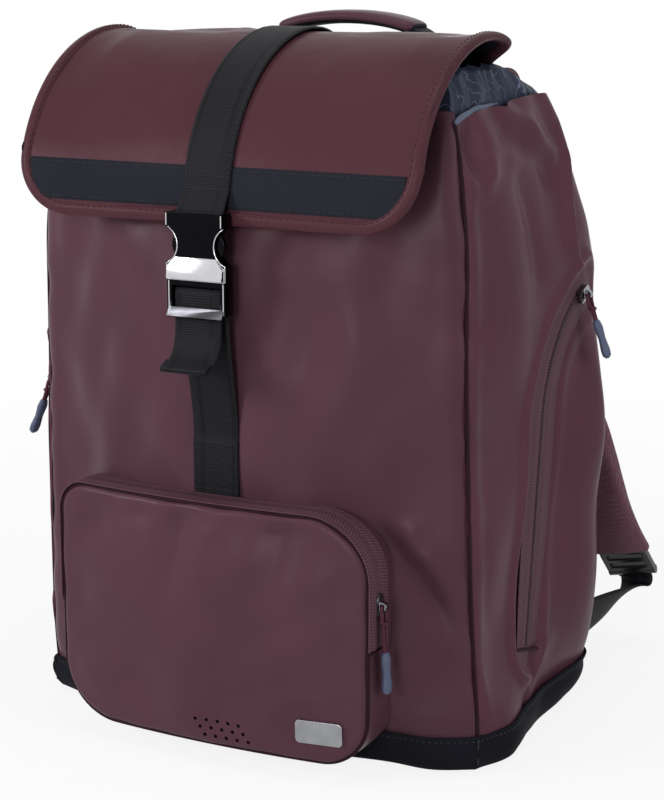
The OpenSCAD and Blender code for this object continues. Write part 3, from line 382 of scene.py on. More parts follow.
# %% Waves, dents and creases
def waves(a, b, size, seed):
    """Broad unevenness from about -1 to 1, with waves of about that size."""
    draw = np.random.RandomState(seed)
    total = 0
    for _ in range(7):
        turn = draw.uniform(0, 2 * math.pi)
        stretch = draw.uniform(0.7, 1.6)
        start = draw.uniform(0, 2 * math.pi)
        along = a * math.cos(turn) + b * math.sin(turn)
        total = total + np.sin(2 * math.pi * along / (size * stretch) + start)
    return total / 3.5


def bell(t):
    """1 at 0, fading to both sides."""
    return np.exp(-t ** 2)


def dent(a, b, at, size):
    return bell((a - at[0]) / size[0]) * bell((b - at[1]) / size[1])


def off_line(a, b, line):
    """Distance to a line through points."""
    best = np.full(np.shape(a), 1e9)
    for (x0, y0), (x1, y1) in zip(line[:-1], line[1:]):
        dx, dy = x1 - x0, y1 - y0
        t = np.clip(((a - x0) * dx + (b - y0) * dy) / (dx * dx + dy * dy + 1e-9), 0, 1)
        best = np.minimum(best, np.hypot(a - x0 - t * dx, b - y0 - t * dy))
    return best


def crease(a, b, line, width):
    return bell(off_line(a, b, line) / width)


def folds(a, b, dents=(), creases=()):
    """Dents of (height, place, size) and creases of (height, line, width), all added up."""
    total = sum(height * dent(a, b, at, size) for height, at, size in dents)
    return total + sum(height * crease(a, b, line, width) for height, line, width in creases)


def ease(t):
    """A smooth step from 0 to 1."""
    t = np.clip(t, 0, 1)
    return t * t * (3 - 2 * t)


# %% [markdown]
# ## Finishes
# The shell is polyester with a satin polyurethane coating: a broad soft highlight, a fine pebbled grain
# and slight differences in tone. Around it are woven webbing and tape, black nickel metal, moulded rubber
# and mesh cloth.


# %% Start and close a finish
def finish(name, **sockets):
    material = bpy.data.materials.new(name)
    material.use_nodes = True
    shader = material.node_tree.nodes["Principled BSDF"]
    for key, value in sockets.items():
        shader.inputs[key.replace("_", " ")].default_value = value
    return material, material.node_tree, shader


def surface(tree, shader, tones, blend, height, depth, strength, rough=None):
    """Two tones mixed by blend, a relief of a real depth in mm, and a roughness that goes with blend."""
    tone = add(tree, "ShaderNodeMix", {0: blend, 6: linear(tones[0]), 7: linear(tones[1])}, data_type="RGBA")
    bump = add(tree, "ShaderNodeBump", {"Height": height, "Distance": depth * MM, "Strength": strength})
    tree.links.new(tone.outputs[2], shader.inputs["Base Color"])
    tree.links.new(bump.outputs[0], shader.inputs["Normal"])
    if rough:
        gloss = add(tree, "ShaderNodeMapRange", {"Value": blend, "To Min": rough[0], "To Max": rough[1]})
        tree.links.new(gloss.outputs[0], shader.inputs["Roughness"])


# %% Coated fabric
CLOUD, CRINKLE = 70, 16  # mm across a patch of tone and a crinkle


def coated_fabric(name, tone, shade, rough=(0.26, 0.39), grain=0.9, gloss=0.045):
    # Polyurethane coating over a tight weave: satin, faintly crinkled and pebbled. The grain is drawn at
    # about 1 mm, coarser than the real one, so that it shows
    material, tree, shader = finish(name, Specular_IOR_Level=gloss, IOR=1.5)
    where = add(tree, "ShaderNodeTexCoord").outputs["Object"]
    cloud = add(tree, "ShaderNodeTexNoise", {"Vector": where, "Scale": 1 / (CLOUD * MM), "Detail": 4.0})
    crinkle = add(tree, "ShaderNodeTexNoise", {"Vector": where, "Scale": 1 / (CRINKLE * MM), "Detail": 3.0})
    pebble = add(tree, "ShaderNodeTexNoise", {"Vector": where, "Scale": 1 / (grain * MM), "Detail": 2.0})
    height = add(tree, "ShaderNodeMath", {0: crinkle, 1: 14.0, 2: pebble}, operation="MULTIPLY_ADD")
    surface(tree, shader, (tone, shade), cloud, height, 0.05, 0.5, rough)
    return material


burgundy = coated_fabric("burgundy_coated_polyester", "#533640", "#452c35", gloss=0.06)
# The sides' copy of the body fabric is lighter and redder, with less gloss: painted light for how the sides
# take the light
side_red = coated_fabric("burgundy_coated_polyester_side_painted_light", "#5a3843", "#4a2e38", gloss=0.033)
# The flap's copy of the body fabric is darker, with less gloss: painted shade
flap_red = coated_fabric("burgundy_coated_polyester_flap_painted_shade", "#4f3037", "#41262d", gloss=0.032)
black_cloth = coated_fabric("black_coated_polyester", "#272830", "#1c1d23", (0.45, 0.56), 1.1, 0.012)
# The boot's copy of the black cloth is darker, with less gloss: painted shade against the light the white
# floor throws up
boot_black = coated_fabric("black_coated_polyester_boot_shaded", "#1e1f25", "#15161a", (0.5, 0.6), 1.1, 0.008)
# Seam cords, pocket piping and bartacks: their own dark red, darkened further as painted shade of the seam's
# groove
seam_cord_and_shade = coated_fabric("burgundy_seam_cord_and_painted_shade", "#2b171d", "#211116", (0.5, 0.6))
hole_dark = coated_fabric("shadow_in_punched_hole", "#0f0b0d", "#0a0708", (0.7, 0.8), gloss=0.0)
print("coated fabrics made")


# %% Woven webbing and zip tape
def woven(name, tone, shade, width, pitch, rough=0.55, slant=0.0, stripe=None):
    # Nylon webbing: cross ribs from the weft, with smooth stripes where the warp floats
    material, tree, shader = finish(name, Roughness=rough, Specular_IOR_Level=0.08)
    uv = add(tree, "ShaderNodeSeparateXYZ", {0: add(tree, "ShaderNodeTexCoord").outputs["UV"]}).outputs
    across = add(tree, "ShaderNodeMath", {0: uv["X"], 1: width}, operation="PINGPONG")
    aside = add(tree, "ShaderNodeMath", {0: across, 1: width / 2}, operation="SUBTRACT")
    from_mid = add(tree, "ShaderNodeMath", {0: aside}, operation="ABSOLUTE")
    lean = add(tree, "ShaderNodeMath", {0: from_mid, 1: slant, 2: uv["Y"]}, operation="MULTIPLY_ADD")
    turn = add(tree, "ShaderNodeMath", {0: lean, 1: 2 * math.pi / pitch}, operation="MULTIPLY")
    wave = add(tree, "ShaderNodeMath", {0: turn}, operation="SINE")
    rib = add(tree, "ShaderNodeMapRange", {"Value": wave, "From Min": -1.0})
    if stripe:
        plain = add(tree, "ShaderNodeMath", {0: from_mid, 1: stripe, 2: 1.3}, operation="COMPARE")
        ribbed = add(tree, "ShaderNodeMapRange", {"Value": plain, "To Min": 1.0, "To Max": 0.2})
        rib = add(tree, "ShaderNodeMath", {0: rib, 1: ribbed}, operation="MULTIPLY")
    # The low parts of the ribs take the darker tone: painted shade in the weave's valleys
    surface(tree, shader, (shade, tone), rib, rib, 0.2, 0.6)
    return material


strap_black = woven("black_nylon_webbing", "#1d1d22", "#0e0e11", 33.6, 1.5, stripe=11)
web_black = woven("black_nylon_webbing_narrow", "#1d1d22", "#0e0e11", 26.6, 1.5, stripe=9)
tape_red = woven("burgundy_zip_tape", "#5f424c", "#422b34", 21, 1.9, 0.6, slant=0.3)
cord_red = woven("burgundy_braided_cord", "#56313a", "#3d2229", 6, 1.4, 0.6, slant=1.0)
print("woven finishes made")

# %% Metal, plastic, rubber and thread
MARK = 9  # mm across a handling mark


def hard(name, tone, shade, rough, metallic=0.0, speck=0.5, depth=0.01):
    # Plated metal or moulded plastic: nearly even, with faint cloudiness and handling marks in its gloss
    material, tree, shader = finish(name, Metallic=metallic, Specular_IOR_Level=0.5 if metallic else 0.3)
    where = add(tree, "ShaderNodeTexCoord").outputs["Object"]
    mark = add(tree, "ShaderNodeTexNoise", {"Vector": where, "Scale": 1 / (MARK * MM), "Detail": 6.0})
    grit = add(tree, "ShaderNodeTexNoise", {"Vector": where, "Scale": 1 / (speck * MM), "Detail": 2.0})
    surface(tree, shader, (tone, shade), mark, grit, depth, 0.4, (rough * 0.8, rough * 1.25))
    return material


nickel = hard("black_nickel_plate", "#17171a", "#101013", 0.13, 1.0, depth=0.004)
# Lighter grey nickel for the tongue lip's up-facing faces: painted reflection of the light above; the
# buckle's own metal is the black nickel
lip_painted_reflection = hard("nickel_lip_painted_reflection", "#4a4a4e", "#3a3a3d", 0.3, 1.0, depth=0.006)
slider_nickel = hard("nickel_zip_slider", "#8f9095", "#6b6c71", 0.17, 1.0, depth=0.006)
# Polished nickel for the socket's facet, and for thin edge rails that stand partly for polished edges, partly
# for painted highlight
bright = hard("polished_nickel_facet_and_painted_glint", "#d6d6d9", "#c2c2c6", 0.1, 1.0, depth=0.004)
steel = hard("brushed_steel_plate", "#a2a3a7", "#7f8085", 0.26, 1.0, 0.4, 0.014)
rubber = hard("slate_moulded_rubber", "#4b5369", "#414860", 0.5, speck=0.8, depth=0.03)
plastic = hard("black_acetal", "#1a1a1e", "#131316", 0.28, speck=0.7, depth=0.02)
teeth = hard("burgundy_nylon_coil", "#3f2730", "#2d1b22", 0.4, speck=0.6)
thread_red = hard("dark_red_thread", "#3b151c", "#2e0f15", 0.6, speck=0.3, depth=0.03)
thread_black = hard("black_thread", "#16171a", "#101113", 0.6, speck=0.3, depth=0.03)
board_grey = hard("grey_polypropylene_board", "#4a4c50", "#3e4044", 0.55, speck=1.5, depth=0.06)
sheet_black = hard("black_polyethylene_sheet", "#2b2d33", "#222429", 0.5, speck=1.2, depth=0.03)
print("hard finishes made")


# %% Mesh cloth and lining
def mesh_cloth(name, tone, hole, size):
    # Spacer mesh: a knitted face with open cells, darker inside them as painted shade of their depth
    material, tree, shader = finish(name, Roughness=0.8, Specular_IOR_Level=0.15, Sheen_Weight=0.04)
    where = add(tree, "ShaderNodeTexCoord").outputs["Object"]
    cell = add(tree, "ShaderNodeTexVoronoi", {"Vector": where, "Scale": 1 / (size * MM), "Randomness": 0.35})
    wall = add(tree, "ShaderNodeMapRange", {"Value": cell, "From Min": 0.18, "From Max": 0.5})
    surface(tree, shader, (hole, tone), wall, wall, 0.12 * size, 0.7)
    return material


HILL, WEAVE = 38, 0.8  # mm across a hill of the print and a thread of the lining


def printed_lining(name, tone, line):
    # Thin polyester lining with a pale line print like the heights on a map
    material, tree, shader = finish(name, Roughness=0.55, Specular_IOR_Level=0.07)
    where = add(tree, "ShaderNodeTexCoord").outputs["Object"]
    hill = add(tree, "ShaderNodeTexNoise", {"Vector": where, "Scale": 1 / (HILL * MM), "Detail": 2.5})
    steps = add(tree, "ShaderNodeMath", {0: hill, 1: 11.0}, operation="MULTIPLY")
    level = add(tree, "ShaderNodeMath", {0: steps, 1: 0.5}, operation="PINGPONG")
    ink = add(tree, "ShaderNodeMath", {0: level, 1: 0.028}, operation="LESS_THAN")
    weave = add(tree, "ShaderNodeTexNoise", {"Vector": where, "Scale": 1 / (WEAVE * MM), "Detail": 2.0})
    surface(tree, shader, (tone, line), ink, weave, 0.04, 0.5)
    return material


# The shoulder pads' mesh tones are raised: painted light, as the pads sit in the body's shade
pad_red = mesh_cloth("burgundy_spacer_mesh", "#6d4b56", "#482f39", 1.5)
back_black = mesh_cloth("black_spacer_mesh", "#34363c", "#1a1b1f", 3.2)
lining = printed_lining("printed_lining", "#2e3444", "#5a637a")
lining_pale = printed_lining("printed_lining_reverse", "#5d6578", "#535b6d")
print("mesh and lining finishes made")

# %% [markdown]
# ## Zip pull cords
# Each zip has a doubled cord that runs from its rubber grip up through the slider's bail and back. It
# hangs, so its route is the CAD's own route: down from the bail, leaning out a little.

# %% Pulls
BAIL = 5.35  # from the zip out to the cord
GRIP = 26.0  # length of the moulded grip
HANGS = {  # place on the zip, lean in degrees, side, and how far the cord hangs
    "pocket": (np.array([108, -139.352, 112.0]), 3, 1, 28.0),
    "right": (np.array([155.2, 58.718, 273.572]), 20, 1, 17.0),
    "left": (np.array([-155.2, -85.5, 214.0]), 24, -1, 17.0),
}


def hung(name, across, down, out=0.0):
    """Points beside a zip, hanging from its bail."""
    foot, lean, side, _ = HANGS[name]
    a = math.radians(lean)
    across, down = np.broadcast_arrays(np.asarray(across, float), np.asarray(down, float))
    x = BAIL + down * math.sin(a) + out * math.cos(a)
    return foot + np.stack([side * x, across, -down * math.cos(a) + out * math.sin(a)], -1)


upper = [(1.5, 11.5), (2.6, 7.0), (3.15, 4.4), (3.1, 2.4), (2.3, 0.7), (1.1, 0.05)]
for name, (_, _, _, drop) in HANGS.items():
    half = [(1.15, drop + 0.2), (1.2, drop - 2.5)] + upper
    loop = np.array(half + [(0, 0)] + [(-y, d) for y, d in half[::-1]])
    path = spaced(hung(name, loop[:, 0], loop[:, 1]), 1.0)
    pull_cord = sweep(name + "_cord", path, (1, 0, 0), round_section(1.1, 8))
    dress(pull_cord, name + "_pull", [name + "_pull_cord"], [cord_red])
    turn = np.linspace(0, 2 * math.pi, 25)[:-1]
    knot = hung(name, 2.9 * np.cos(turn), 9.4 + 0.9 * np.sin(turn), out=1.6 * np.sin(turn))
    whipping = sweep(name + "_cord_whipping", knot, (0, 0, 1), round_section(1.0, 8), ring=True)
    dress(whipping, name + "_pull", (), [cord_red])
    share = np.linspace(0, 1, 40)
    girth = np.interp(share, [0, 0.05, 0.2, 0.5, 0.78, 0.93, 1], [2.2, 3.3, 4.2, 3.3, 4.3, 3.9, 1.6])
    spine = hung(name, 0.5 * np.sin(share * 3), drop + 0.3 + share * GRIP)
    grip = sweep(name + "_grip", spine, (0, 1, 0), girth[:, None, None] * round_section(1, 16, 0.66)[None])
    dress(grip, name + "_pull", [name + "_pull_grip"], [rubber])
    from_cad(name + "_slider", name + "_zip_slider", 0.35, "gunmetal", name + "_slider", slider_nickel)

# %% [markdown]
# ## The shell
# The front is one domed panel, the sides are two gussets, and the back is a padded panel. They are laid
# from the same outline as the CAD, then drawn in along their seams, which is what makes a sewn shell read
# as cloth.

# %% Outline of the shell
HALF_W, HALF_D = 154.0, 97.5  # at the belly
RIM, BELLY, SHOULDER = 400.0, 70.0, 300.0  # heights
PANEL_FOOT = 18.0  # where front and sides begin, inside the boot
CORNER_OUT = 8  # how far the right corner's foot comes forward
BEND, BEND_R = (89.5, 189.0), 90.0  # the right zip: a bend, and a straight run down to its foot
ZIP_FOOT, ZIP_RUN = (-18.5, 58.0), (18.77, 142.75)


def low(z):
    """0 above the belly, 1 at the foot."""
    return np.clip((BELLY - z) / BELLY, 0, None) ** 2


def high(z):
    """0 below the shoulder, 1 at the rim."""
    return np.clip((z - SHOULDER) / (RIM - SHOULDER), 0, None) ** 2


def half_w(z):
    return HALF_W - 2 * low(z) - 20 * high(z)


def front_y(z):
    return -HALF_D + 4 * low(z) + 4 * high(z)


def back_y(z):
    return HALF_D - 4 * low(z) - 45 * high(z)


def crown(z):
    """How far the front bows out."""
    return 43 - 15 * low(z) - 31 * high(z)


def panel_y(x, z):
    return front_y(z) - crown(z) * (1 - (x / half_w(z)) ** 2)


# %% How the filled bag spreads
def profile(heights, values, soften=14):
    """A smooth curve over height, of straight runs that are rounded where they meet."""
    z = np.arange(-80, 500.0)
    kernel = bell(np.arange(-45, 46) / soften)
    table = np.convolve(np.interp(z, heights, values), kernel / kernel.sum(), "same")
    return lambda at: np.interp(at, z, table)


CORNER = {1: profile([0, 25, 60, 100, 200, 250, 300, 350, 392], [5, 5, 1, -2, -6, -7.5, -8, -7, -1]),
          -1: profile([0, 50, 190, 215, 300], [3, 3, 3, 1, 0])}
REAR = {1: profile([0, 28, 60, 100, 200, 235, 258, 280, 320, 350], [6, 7, 10, 13, 13, 10, 6, 4, 3, 0]),
        -1: profile([0, 28, 100, 240, 300, 350, 400], [6, 7, 11, 10, 4, 2, 0])}
RECESS = profile([285, 300, 320, 340, 360, 400], [0, 0.5, 3, 8, 12, 12])
FOOT = profile([0, 6, 13, 20, 30, 40, 55, 75], [0, 6, 12.5, 12, 9, 8, 4, 0], 5)


def foot_fade(z):
    return bell(np.maximum(z - PANEL_FOOT, 0) / 26)


def zip_y(z):
    """Where the right zip crosses that height."""
    bend = BEND[0] - np.sqrt(np.maximum(BEND_R ** 2 - np.clip(z - BEND[1], 0, BEND_R) ** 2, 0))
    run = (z - ZIP_FOOT[1]) / ZIP_RUN[1]
    return np.where(run < 1, ZIP_FOOT[0] + ZIP_RUN[0] * run, bend)


# %% Points on the shell
def front(s, z, out=0.0):
    """The front panel at share s, from -1 at the left seam to 1 at the right one."""
    spread = np.where(s > 0, CORNER[1](z), CORNER[-1](z)) * s * s
    y = front_y(z) - crown(z) * (1 - s * s) - out - CORNER_OUT * foot_fade(z) * bell((s - 0.86) / 0.14)
    return np.stack([s * (half_w(z) + out + spread), y, z + 0 * s], -1)


def side(t, z, out=0.0, hand=1):
    """A side at share t, from 0 at the front seam to 1 at the back."""
    right = hand > 0
    fade = foot_fade(z)
    y = front_y(z) - out + t * (back_y(z) - front_y(z) + 2 * out)
    y = y - CORNER_OUT * fade * bell((t + 0.09) / 0.09) * right
    from_zip = np.minimum((zip_y(z) + 16 + HALF_D) / (2 * HALF_D), 0.8) if right else 0.3
    spread = CORNER[hand](z) * (1 - ease(t / (0.36 if right else 0.1)))
    spread = spread + REAR[hand](z) * ease((t - from_zip) / 0.34)
    foot = FOOT(100 * t) - FOOT(0) * (1 - ease(t / 0.08))
    spread = spread + (1 if right else 0.5) * foot * fade
    return np.stack([hand * (half_w(z) + out + spread - (12 + spread) * t ** 22), y, z + 0 * t], -1)


def back(s, z, out=0.0):
    """The back at share s, from -1 at its left edge to 1 at its right one."""
    x = s * (half_w(z) - 12 - 0.8 * RECESS(z) + out)
    return np.stack([x, back_y(z) + 6 * (1 - s * s) + out, z + 0 * s], -1)


def seam_pull(edge, z, seed):
    """Cloth beside a seam: drawn in at the seam, rolled beside it, and puckered between stitches."""
    rolled = 1.3 * bell((edge - 9) / 6) - 3.0 * bell(edge / 2.6)
    return rolled + 1.5 * waves(z, 0 * z, 34, seed) * np.exp(-edge / 15)


def boot_grip(z):
    """How far the boot's upper edge presses the cloth in."""
    return 1.5 * bell((z - 25) / 9)


# %% Front panel
POCKET_VALLEY = [(104, 146), (112, 137), (125.5, 119.5), (135, 106), (150, 88)]
POCKET_RIDGE = [(118, 148), (138, 122), (147, 106)]
FRONT_CREASES = ((-1.6, [(104, 152), (125, 144)], 6), (-2.0, [(-132, 66), (-112, 120)], 8))
FRONT_DENTS = ((-2.4, (-122, 205), (14, 50)), (1.4, (60, 250), (30, 60)), (-1.4, (105, 240), (16, 70)),
               (-1.2, (-60, 260), (22, 60)), (-3.0, (112, 372), (12, 26)), (1.5, (92, 365), (10, 30)),
               (-2.5, (-112, 372), (12, 26)))


def lay_front(u, v):
    return front(2 * u - 1, PANEL_FOOT + v * (RIM - PANEL_FOOT))


def front_swell(p):
    x, z = p[:, 0], p[:, 2]
    edge = half_w(z) + np.where(x > 0, CORNER[1](z), CORNER[-1](z)) - np.abs(x)
    inner = ease(edge / 30) * ease((z - 20) / 45)
    d = seam_pull(edge, z, 5) * ease((z - 12) / 30)
    d += inner * (2.6 * waves(x, z, 130, 8) + 1.8 * waves(x, 0.7 * z, 48, 9))
    d -= 4.2 * crease(x, z, POCKET_VALLEY, 6.5) * ease((150 - x) / 20)
    d += 4.0 * crease(x, z, POCKET_RIDGE, 9) * ease((148 - x) / 18)
    return d + folds(x, z, FRONT_DENTS, FRONT_CREASES) - boot_grip(z)


panel = cut("front_panel_cloth", 150, 160, lay_front, front_swell)
dress(lined(panel, 2.0, burgundy, lining), "bag", ["front_panel"])

# %% Seams and zips of the sides
right_zip = np.vstack([arc(BEND, BEND_R, 104, 172.5, 40), [ZIP_FOOT]])
left_zip = np.array([(-85.5, 232.0), (-85.5, 60.0)])
SIDES = {"right": (1, right_zip, 42), "left": (-1, left_zip, 22)}  # hand, zip and width of its tape
REAR_SEAM = np.array([(34, 404), (46, 384), (50, 362), (44, 336), (42, 311), (50, 291), (60, 280)])
RIM_FOLDS = ((3.0, [(-30, 396), (2, 384), (30, 366)], 7), (-2.4, [(-34, 382), (0, 368), (24, 352)], 8))
SIDE_CREASE = [(-26, 350), (-14, 330), (-8, 300)]
FOOT_VALLEY, FOOT_RIDGE = [(-2, 52), (-42, 14)], [(9, 54), (-24, 22)]


def tape_half(z, tape):
    """Half the tape's width: it is broad half way up, and narrows to its ends."""
    return tape / 2 * (0.7 + 0.3 * np.sin(math.pi * np.clip((z - 50) / 230, 0, 1)))


# %% Folds and swell of a side
def gusset_swell(hand, zip_line, tape, seed):
    fold = 1.0 if hand > 0 else 0.35

    def swell(p):
        y, z = p[:, 1], p[:, 2]
        from_front = y - front_y(z) + 2.94 * foot_fade(z) * (hand > 0)
        from_back = back_y(z) - y
        d = seam_pull(from_front, z, seed) + seam_pull(np.maximum(from_back, 0) + 2, z, seed + 1) * 0.6
        inner = ease(from_front / 30) * ease(from_back / 25)
        d += inner * (2.0 * waves(y, z, 120, seed + 2) + 1.0 * waves(y, 0.5 * z, 46, seed + 5))
        gathers = 0.8 * np.sin(y / 13 + 0.9 + 0.003 * (RIM - z) * y / 9) + 0.7 * waves(y, 0 * z, 30, seed + 3)
        d += ease((z - 300) / 110) * inner * gathers
        bowl = np.hypot(y + 78, (z - 380) / 1.3)
        d += fold * (2.8 * bell((bowl - 19) / 6.5) * ease((378 - z) / 18) - 8 * bell(bowl / 12))
        d += fold * folds(y, z, (), RIM_FOLDS) - 2.2 * crease(y, z, SIDE_CREASE, 10)
        d += 3.0 * inner * dent(y, z, (-45, 250), (40, 110))
        off = off_line(y, z, zip_line)
        half = tape_half(z, tape)
        ahead = y < np.interp(z, zip_line[::-1, 1], zip_line[::-1, 0])
        flat = np.exp(-(off / (half + 2.5)) ** 6)
        d = d * (1 - flat) - 1.1 * flat + np.where(ahead, 3.4, 1.0) * bell((off - half - 6.5) / 4.5)
        past = y - np.interp(z, REAR_SEAM[::-1, 1], REAR_SEAM[::-1, 0])
        ridge = bell(off_line(y, z, REAR_SEAM) / np.where(past < 0, 10, 2.4))
        rear = fold * (4.2 * ridge - 1.2 * ease(past / 4)) - RECESS(z) * np.clip(past / 42, 0, 1) ** 1.6
        d += ease((z - 284) / 26) * rear
        if hand > 0:
            d -= 2.4 * crease(y, z, FOOT_VALLEY, 4.5)
            d += 1.2 * ease((z - 26) / 18) * crease(y, z, FOOT_RIDGE, 8)
        return d - boot_grip(z)
    return swell


# %% Both sides
def gusset(name, hand, zip_line, tape, seed):
    def lay(u, v):
        t = 1 - (1 - u) ** 1.7 if hand > 0 else 1 - u ** 1.7
        dip = 8 * np.exp(-t / 0.2) + 3 * bell((t - 0.45) / 0.05) + 8 * np.clip((t - 0.78) / 0.22, 0, 1) ** 2
        top = RIM + 3 * t - dip * ease((v - 0.9) / 0.1)
        return side(t, PANEL_FOOT + v * (top - PANEL_FOOT), 0.0, hand)
    piece = cut(name + "_gusset_cloth", 180, 210, lay, gusset_swell(hand, zip_line, tape, seed))
    dress(lined(piece, 2.0, side_red, lining), "bag", [name + "_gusset"])


gusset("right", *SIDES["right"], 21)
gusset("left", *SIDES["left"], 31)

# %% Seam cords
# Cords along the front's two seams, dark partly by their own colour and partly as painted shade of the groove
z = np.linspace(20, RIM - 8, 150)
for sign, node in ((1, "right_piping"), (-1, "left_piping")):
    path = front(sign + 0 * z, z) + (-1.3 * sign, 1.2, 0)
    cord = sweep(node + "_cloth", path, (1, 0, 0), round_section(1.3, 10))
    dress(cord, "bag", [node], [seam_cord_and_shade])

# %% [markdown]
# ## Base boot
# A black tray wraps the foot of the bag. It follows the shell's outline a millimetre outside it, turns
# under with a soft edge and closes below. Its upper edge is turned in and stitched.


# %% Boot
def around(f, z, out):
    """A point on the outline at share f of the way round, from the front left corner."""
    parts = [front(6 * f - 1, z, out), side((f - 1 / 3) * 6, z, out), back(1 - 6 * (f - 0.5), z, out),
             side(1 - (f - 5 / 6) * 6, z, out, -1)]
    return np.select([(f < 1 / 3)[:, None], (f < 0.5)[:, None], (f < 5 / 6)[:, None]], parts[:3], parts[3])


BOOT_SEAM = 21.6
BOOT = np.array([(-34, 0.1), (-16, 0.05), (-6, 0), (-3, 0.6), (-1.0, 2.2), (0.3, 5), (0.9, 9), (1.2, 14),
                 (1.2, 19), (1.1, 23.4), (0.6, 24.4), (-0.4, 24.2), (-1.2, 22)])  # out and up, from below


def boot_wave(u, z):
    return 1.3 * ease(z / 6) * ease((25 - z) / 8) * waves(u * 900, z * 1.6, 48, 41)


def lay_boot(u, v):
    row = v * (len(BOOT) - 1)
    out = np.interp(row, np.arange(len(BOOT)), BOOT[:, 0])
    z = np.interp(row, np.arange(len(BOOT)), BOOT[:, 1])
    worn = bell((u - 0.5) / 0.035) + bell((u - 5 / 6) / 0.035)
    out = out - 9 * worn * np.clip(1 - z / 16, 0, 1) ** 2
    return around(u % 1.0, z, out + boot_wave(u, z))


boot = thicken(weld(cut("base_boot_cloth", 420, 36, lay_boot)), 1.4)
dress(boot, "bag", ["base_boot"], [boot_black])
f = np.linspace(0, 1, 700)
z = BOOT_SEAM + 0 * f
row = around(f % 1.0, z, 1.2 + boot_wave(f, z))
stitches("boot_stitches", row, (0, 0, 1), (2.6, 1.2, 0.35), "bag", thread_black)
z = np.linspace(6.5, 23.3, 12)
for name, f in (("left", 0.0005), ("right", 0.3328)):
    path = around(f + 0 * z, z, 1.3 + 0 * z)
    seam = sweep("boot_corner_seam_" + name, path, (1, 0, 0), round_section(0.6, 8))
    dress(seam, "bag", (), [thread_black])
for node, colour in (("bottom_board", board_grey), ("back_frame_sheet", sheet_black)):
    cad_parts[node].data.materials.clear()
    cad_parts[node].data.materials.append(colour)

# %% [markdown]
# ## Front pocket
# The pocket stands out from the panel on its own wall. Its face is puffed and rolls back at a piped edge,
# and the zip runs in the upper wall. A bare metal plate and fifteen punched holes, drawn as dark discs of
# painted shadow, sit low on the face.

# %% Pocket outline
POCKET_W, POCKET_LOW, POCKET_TOP, ZIP_END = 216.0, 13.0, 164.0, 86.0
ROUND = {(1, 1): 38.0, (-1, 1): 18.0, (-1, -1): 40.0, (1, -1): 29.0}  # radius at each (right, top) corner
POCKET_MID = (POCKET_LOW + POCKET_TOP) / 2
POCKET_DEEP = 33  # from the panel out to the face's edge
EDGE_Y = float(panel_y(POCKET_W / 2, np.float64(POCKET_MID))) - POCKET_DEEP


def pocket_y(x, z):
    bow = 8 + 7 * (1 - ((z - POCKET_MID) / (POCKET_TOP - POCKET_MID)) ** 2)
    return EDGE_Y - (1 - (2 * x / POCKET_W) ** 2) * bow


def pocket_inside(x, z):
    """Distance in from the pocket's rounded outline."""
    low_r, top_r = (np.where(x > 0, ROUND[1, end], ROUND[-1, end]) for end in (-1, 1))
    r = np.where(z > POCKET_MID, top_r, low_r)
    qx = np.abs(x) - (POCKET_W / 2 - r)
    qz = np.abs(z - POCKET_MID) - (POCKET_TOP - POCKET_MID - r)
    return r - np.hypot(np.maximum(qx, 0), np.maximum(qz, 0)) - np.minimum(np.maximum(qx, qz), 0)


def pocket_line(inset, step=2.0):
    """The outline from the zip's right end, up, over and down the left, then under and back."""
    w = POCKET_W / 2 - inset
    points = [(w, ZIP_END)]
    for cx, cz, a0 in ((1, 1, 0), (-1, 1, 90), (-1, -1, 180), (1, -1, 270)):
        r = ROUND[cx, cz] - inset
        c = (cx * (w - r), POCKET_MID + cz * (POCKET_TOP - POCKET_MID - inset - r))
        points += arc(c, r, a0, a0 + 90, 20).tolist()
    points = np.array(points + [(w, ZIP_END)])
    line = spaced(np.stack([points[:, 0], 0 * points[:, 0], points[:, 1]], 1), step)
    line[:, 1] = pocket_y(line[:, 0], line[:, 2])
    return line[:-1]


def pocket_out(line):
    """Outward across the wall, level with the face."""
    along = unit(np.roll(line, -1, 0) - np.roll(line, 1, 0))
    return unit(np.stack([along[:, 2], 0 * along[:, 0], -along[:, 0]], 1))


# %% Pocket face
PUCKERS = ((-76, 13, 0.6, 26), (-42, 11, 0.8, 24), (-12, 11, 2.0, 34), (24, 10, 0.5, 22), (60, 13, 1.7, 30))


def face_swell(p):
    x, z = p[:, 0], p[:, 2]
    d = pocket_inside(x, z)
    top = POCKET_TOP - z
    s = 1.4 * ease(d / 34) + ease(d / 20) * (1.5 * waves(x, z, 80, 51) + 0.7 * waves(x, z, 36, 53))
    for at, wide, deep, long in PUCKERS:
        s -= 2.9 * deep * ease(d / 12) * bell((x - at + 0.15 * top) / wide) * bell((top - 12) / long)
    s += 0.5 * waves(z, x, 34, 52) * np.exp(-d / 9) - 1.4 * dent(x, z, (-30, 40), (40, 16))
    return s * (1 - np.exp(-((x - 80) / 25) ** 4 - ((z - 33) / 16) ** 4))


def lay_face(u, v):
    x = POCKET_W / 2 * np.sin((2 * u - 1) * math.pi / 2)
    bite = {}
    for end in (-1, 1):
        r = np.where(x > 0, ROUND[1, end], ROUND[-1, end])
        bite[end] = r - np.sqrt(np.maximum(r ** 2 - np.clip(np.abs(x) - (POCKET_W / 2 - r), 0, r) ** 2, 0))
    z = POCKET_LOW + bite[-1] + v * (POCKET_TOP - POCKET_LOW - bite[-1] - bite[1])
    roll = 2.6 * np.exp(-pocket_inside(x, z) / 1.1)
    return np.stack([x, pocket_y(x, z) + roll, z], 1)


face = thicken(cut("pocket_face_cloth", 150, 110, lay_face, face_swell), 1.8)
dress(face, "bag", ["pocket_face"], [burgundy])

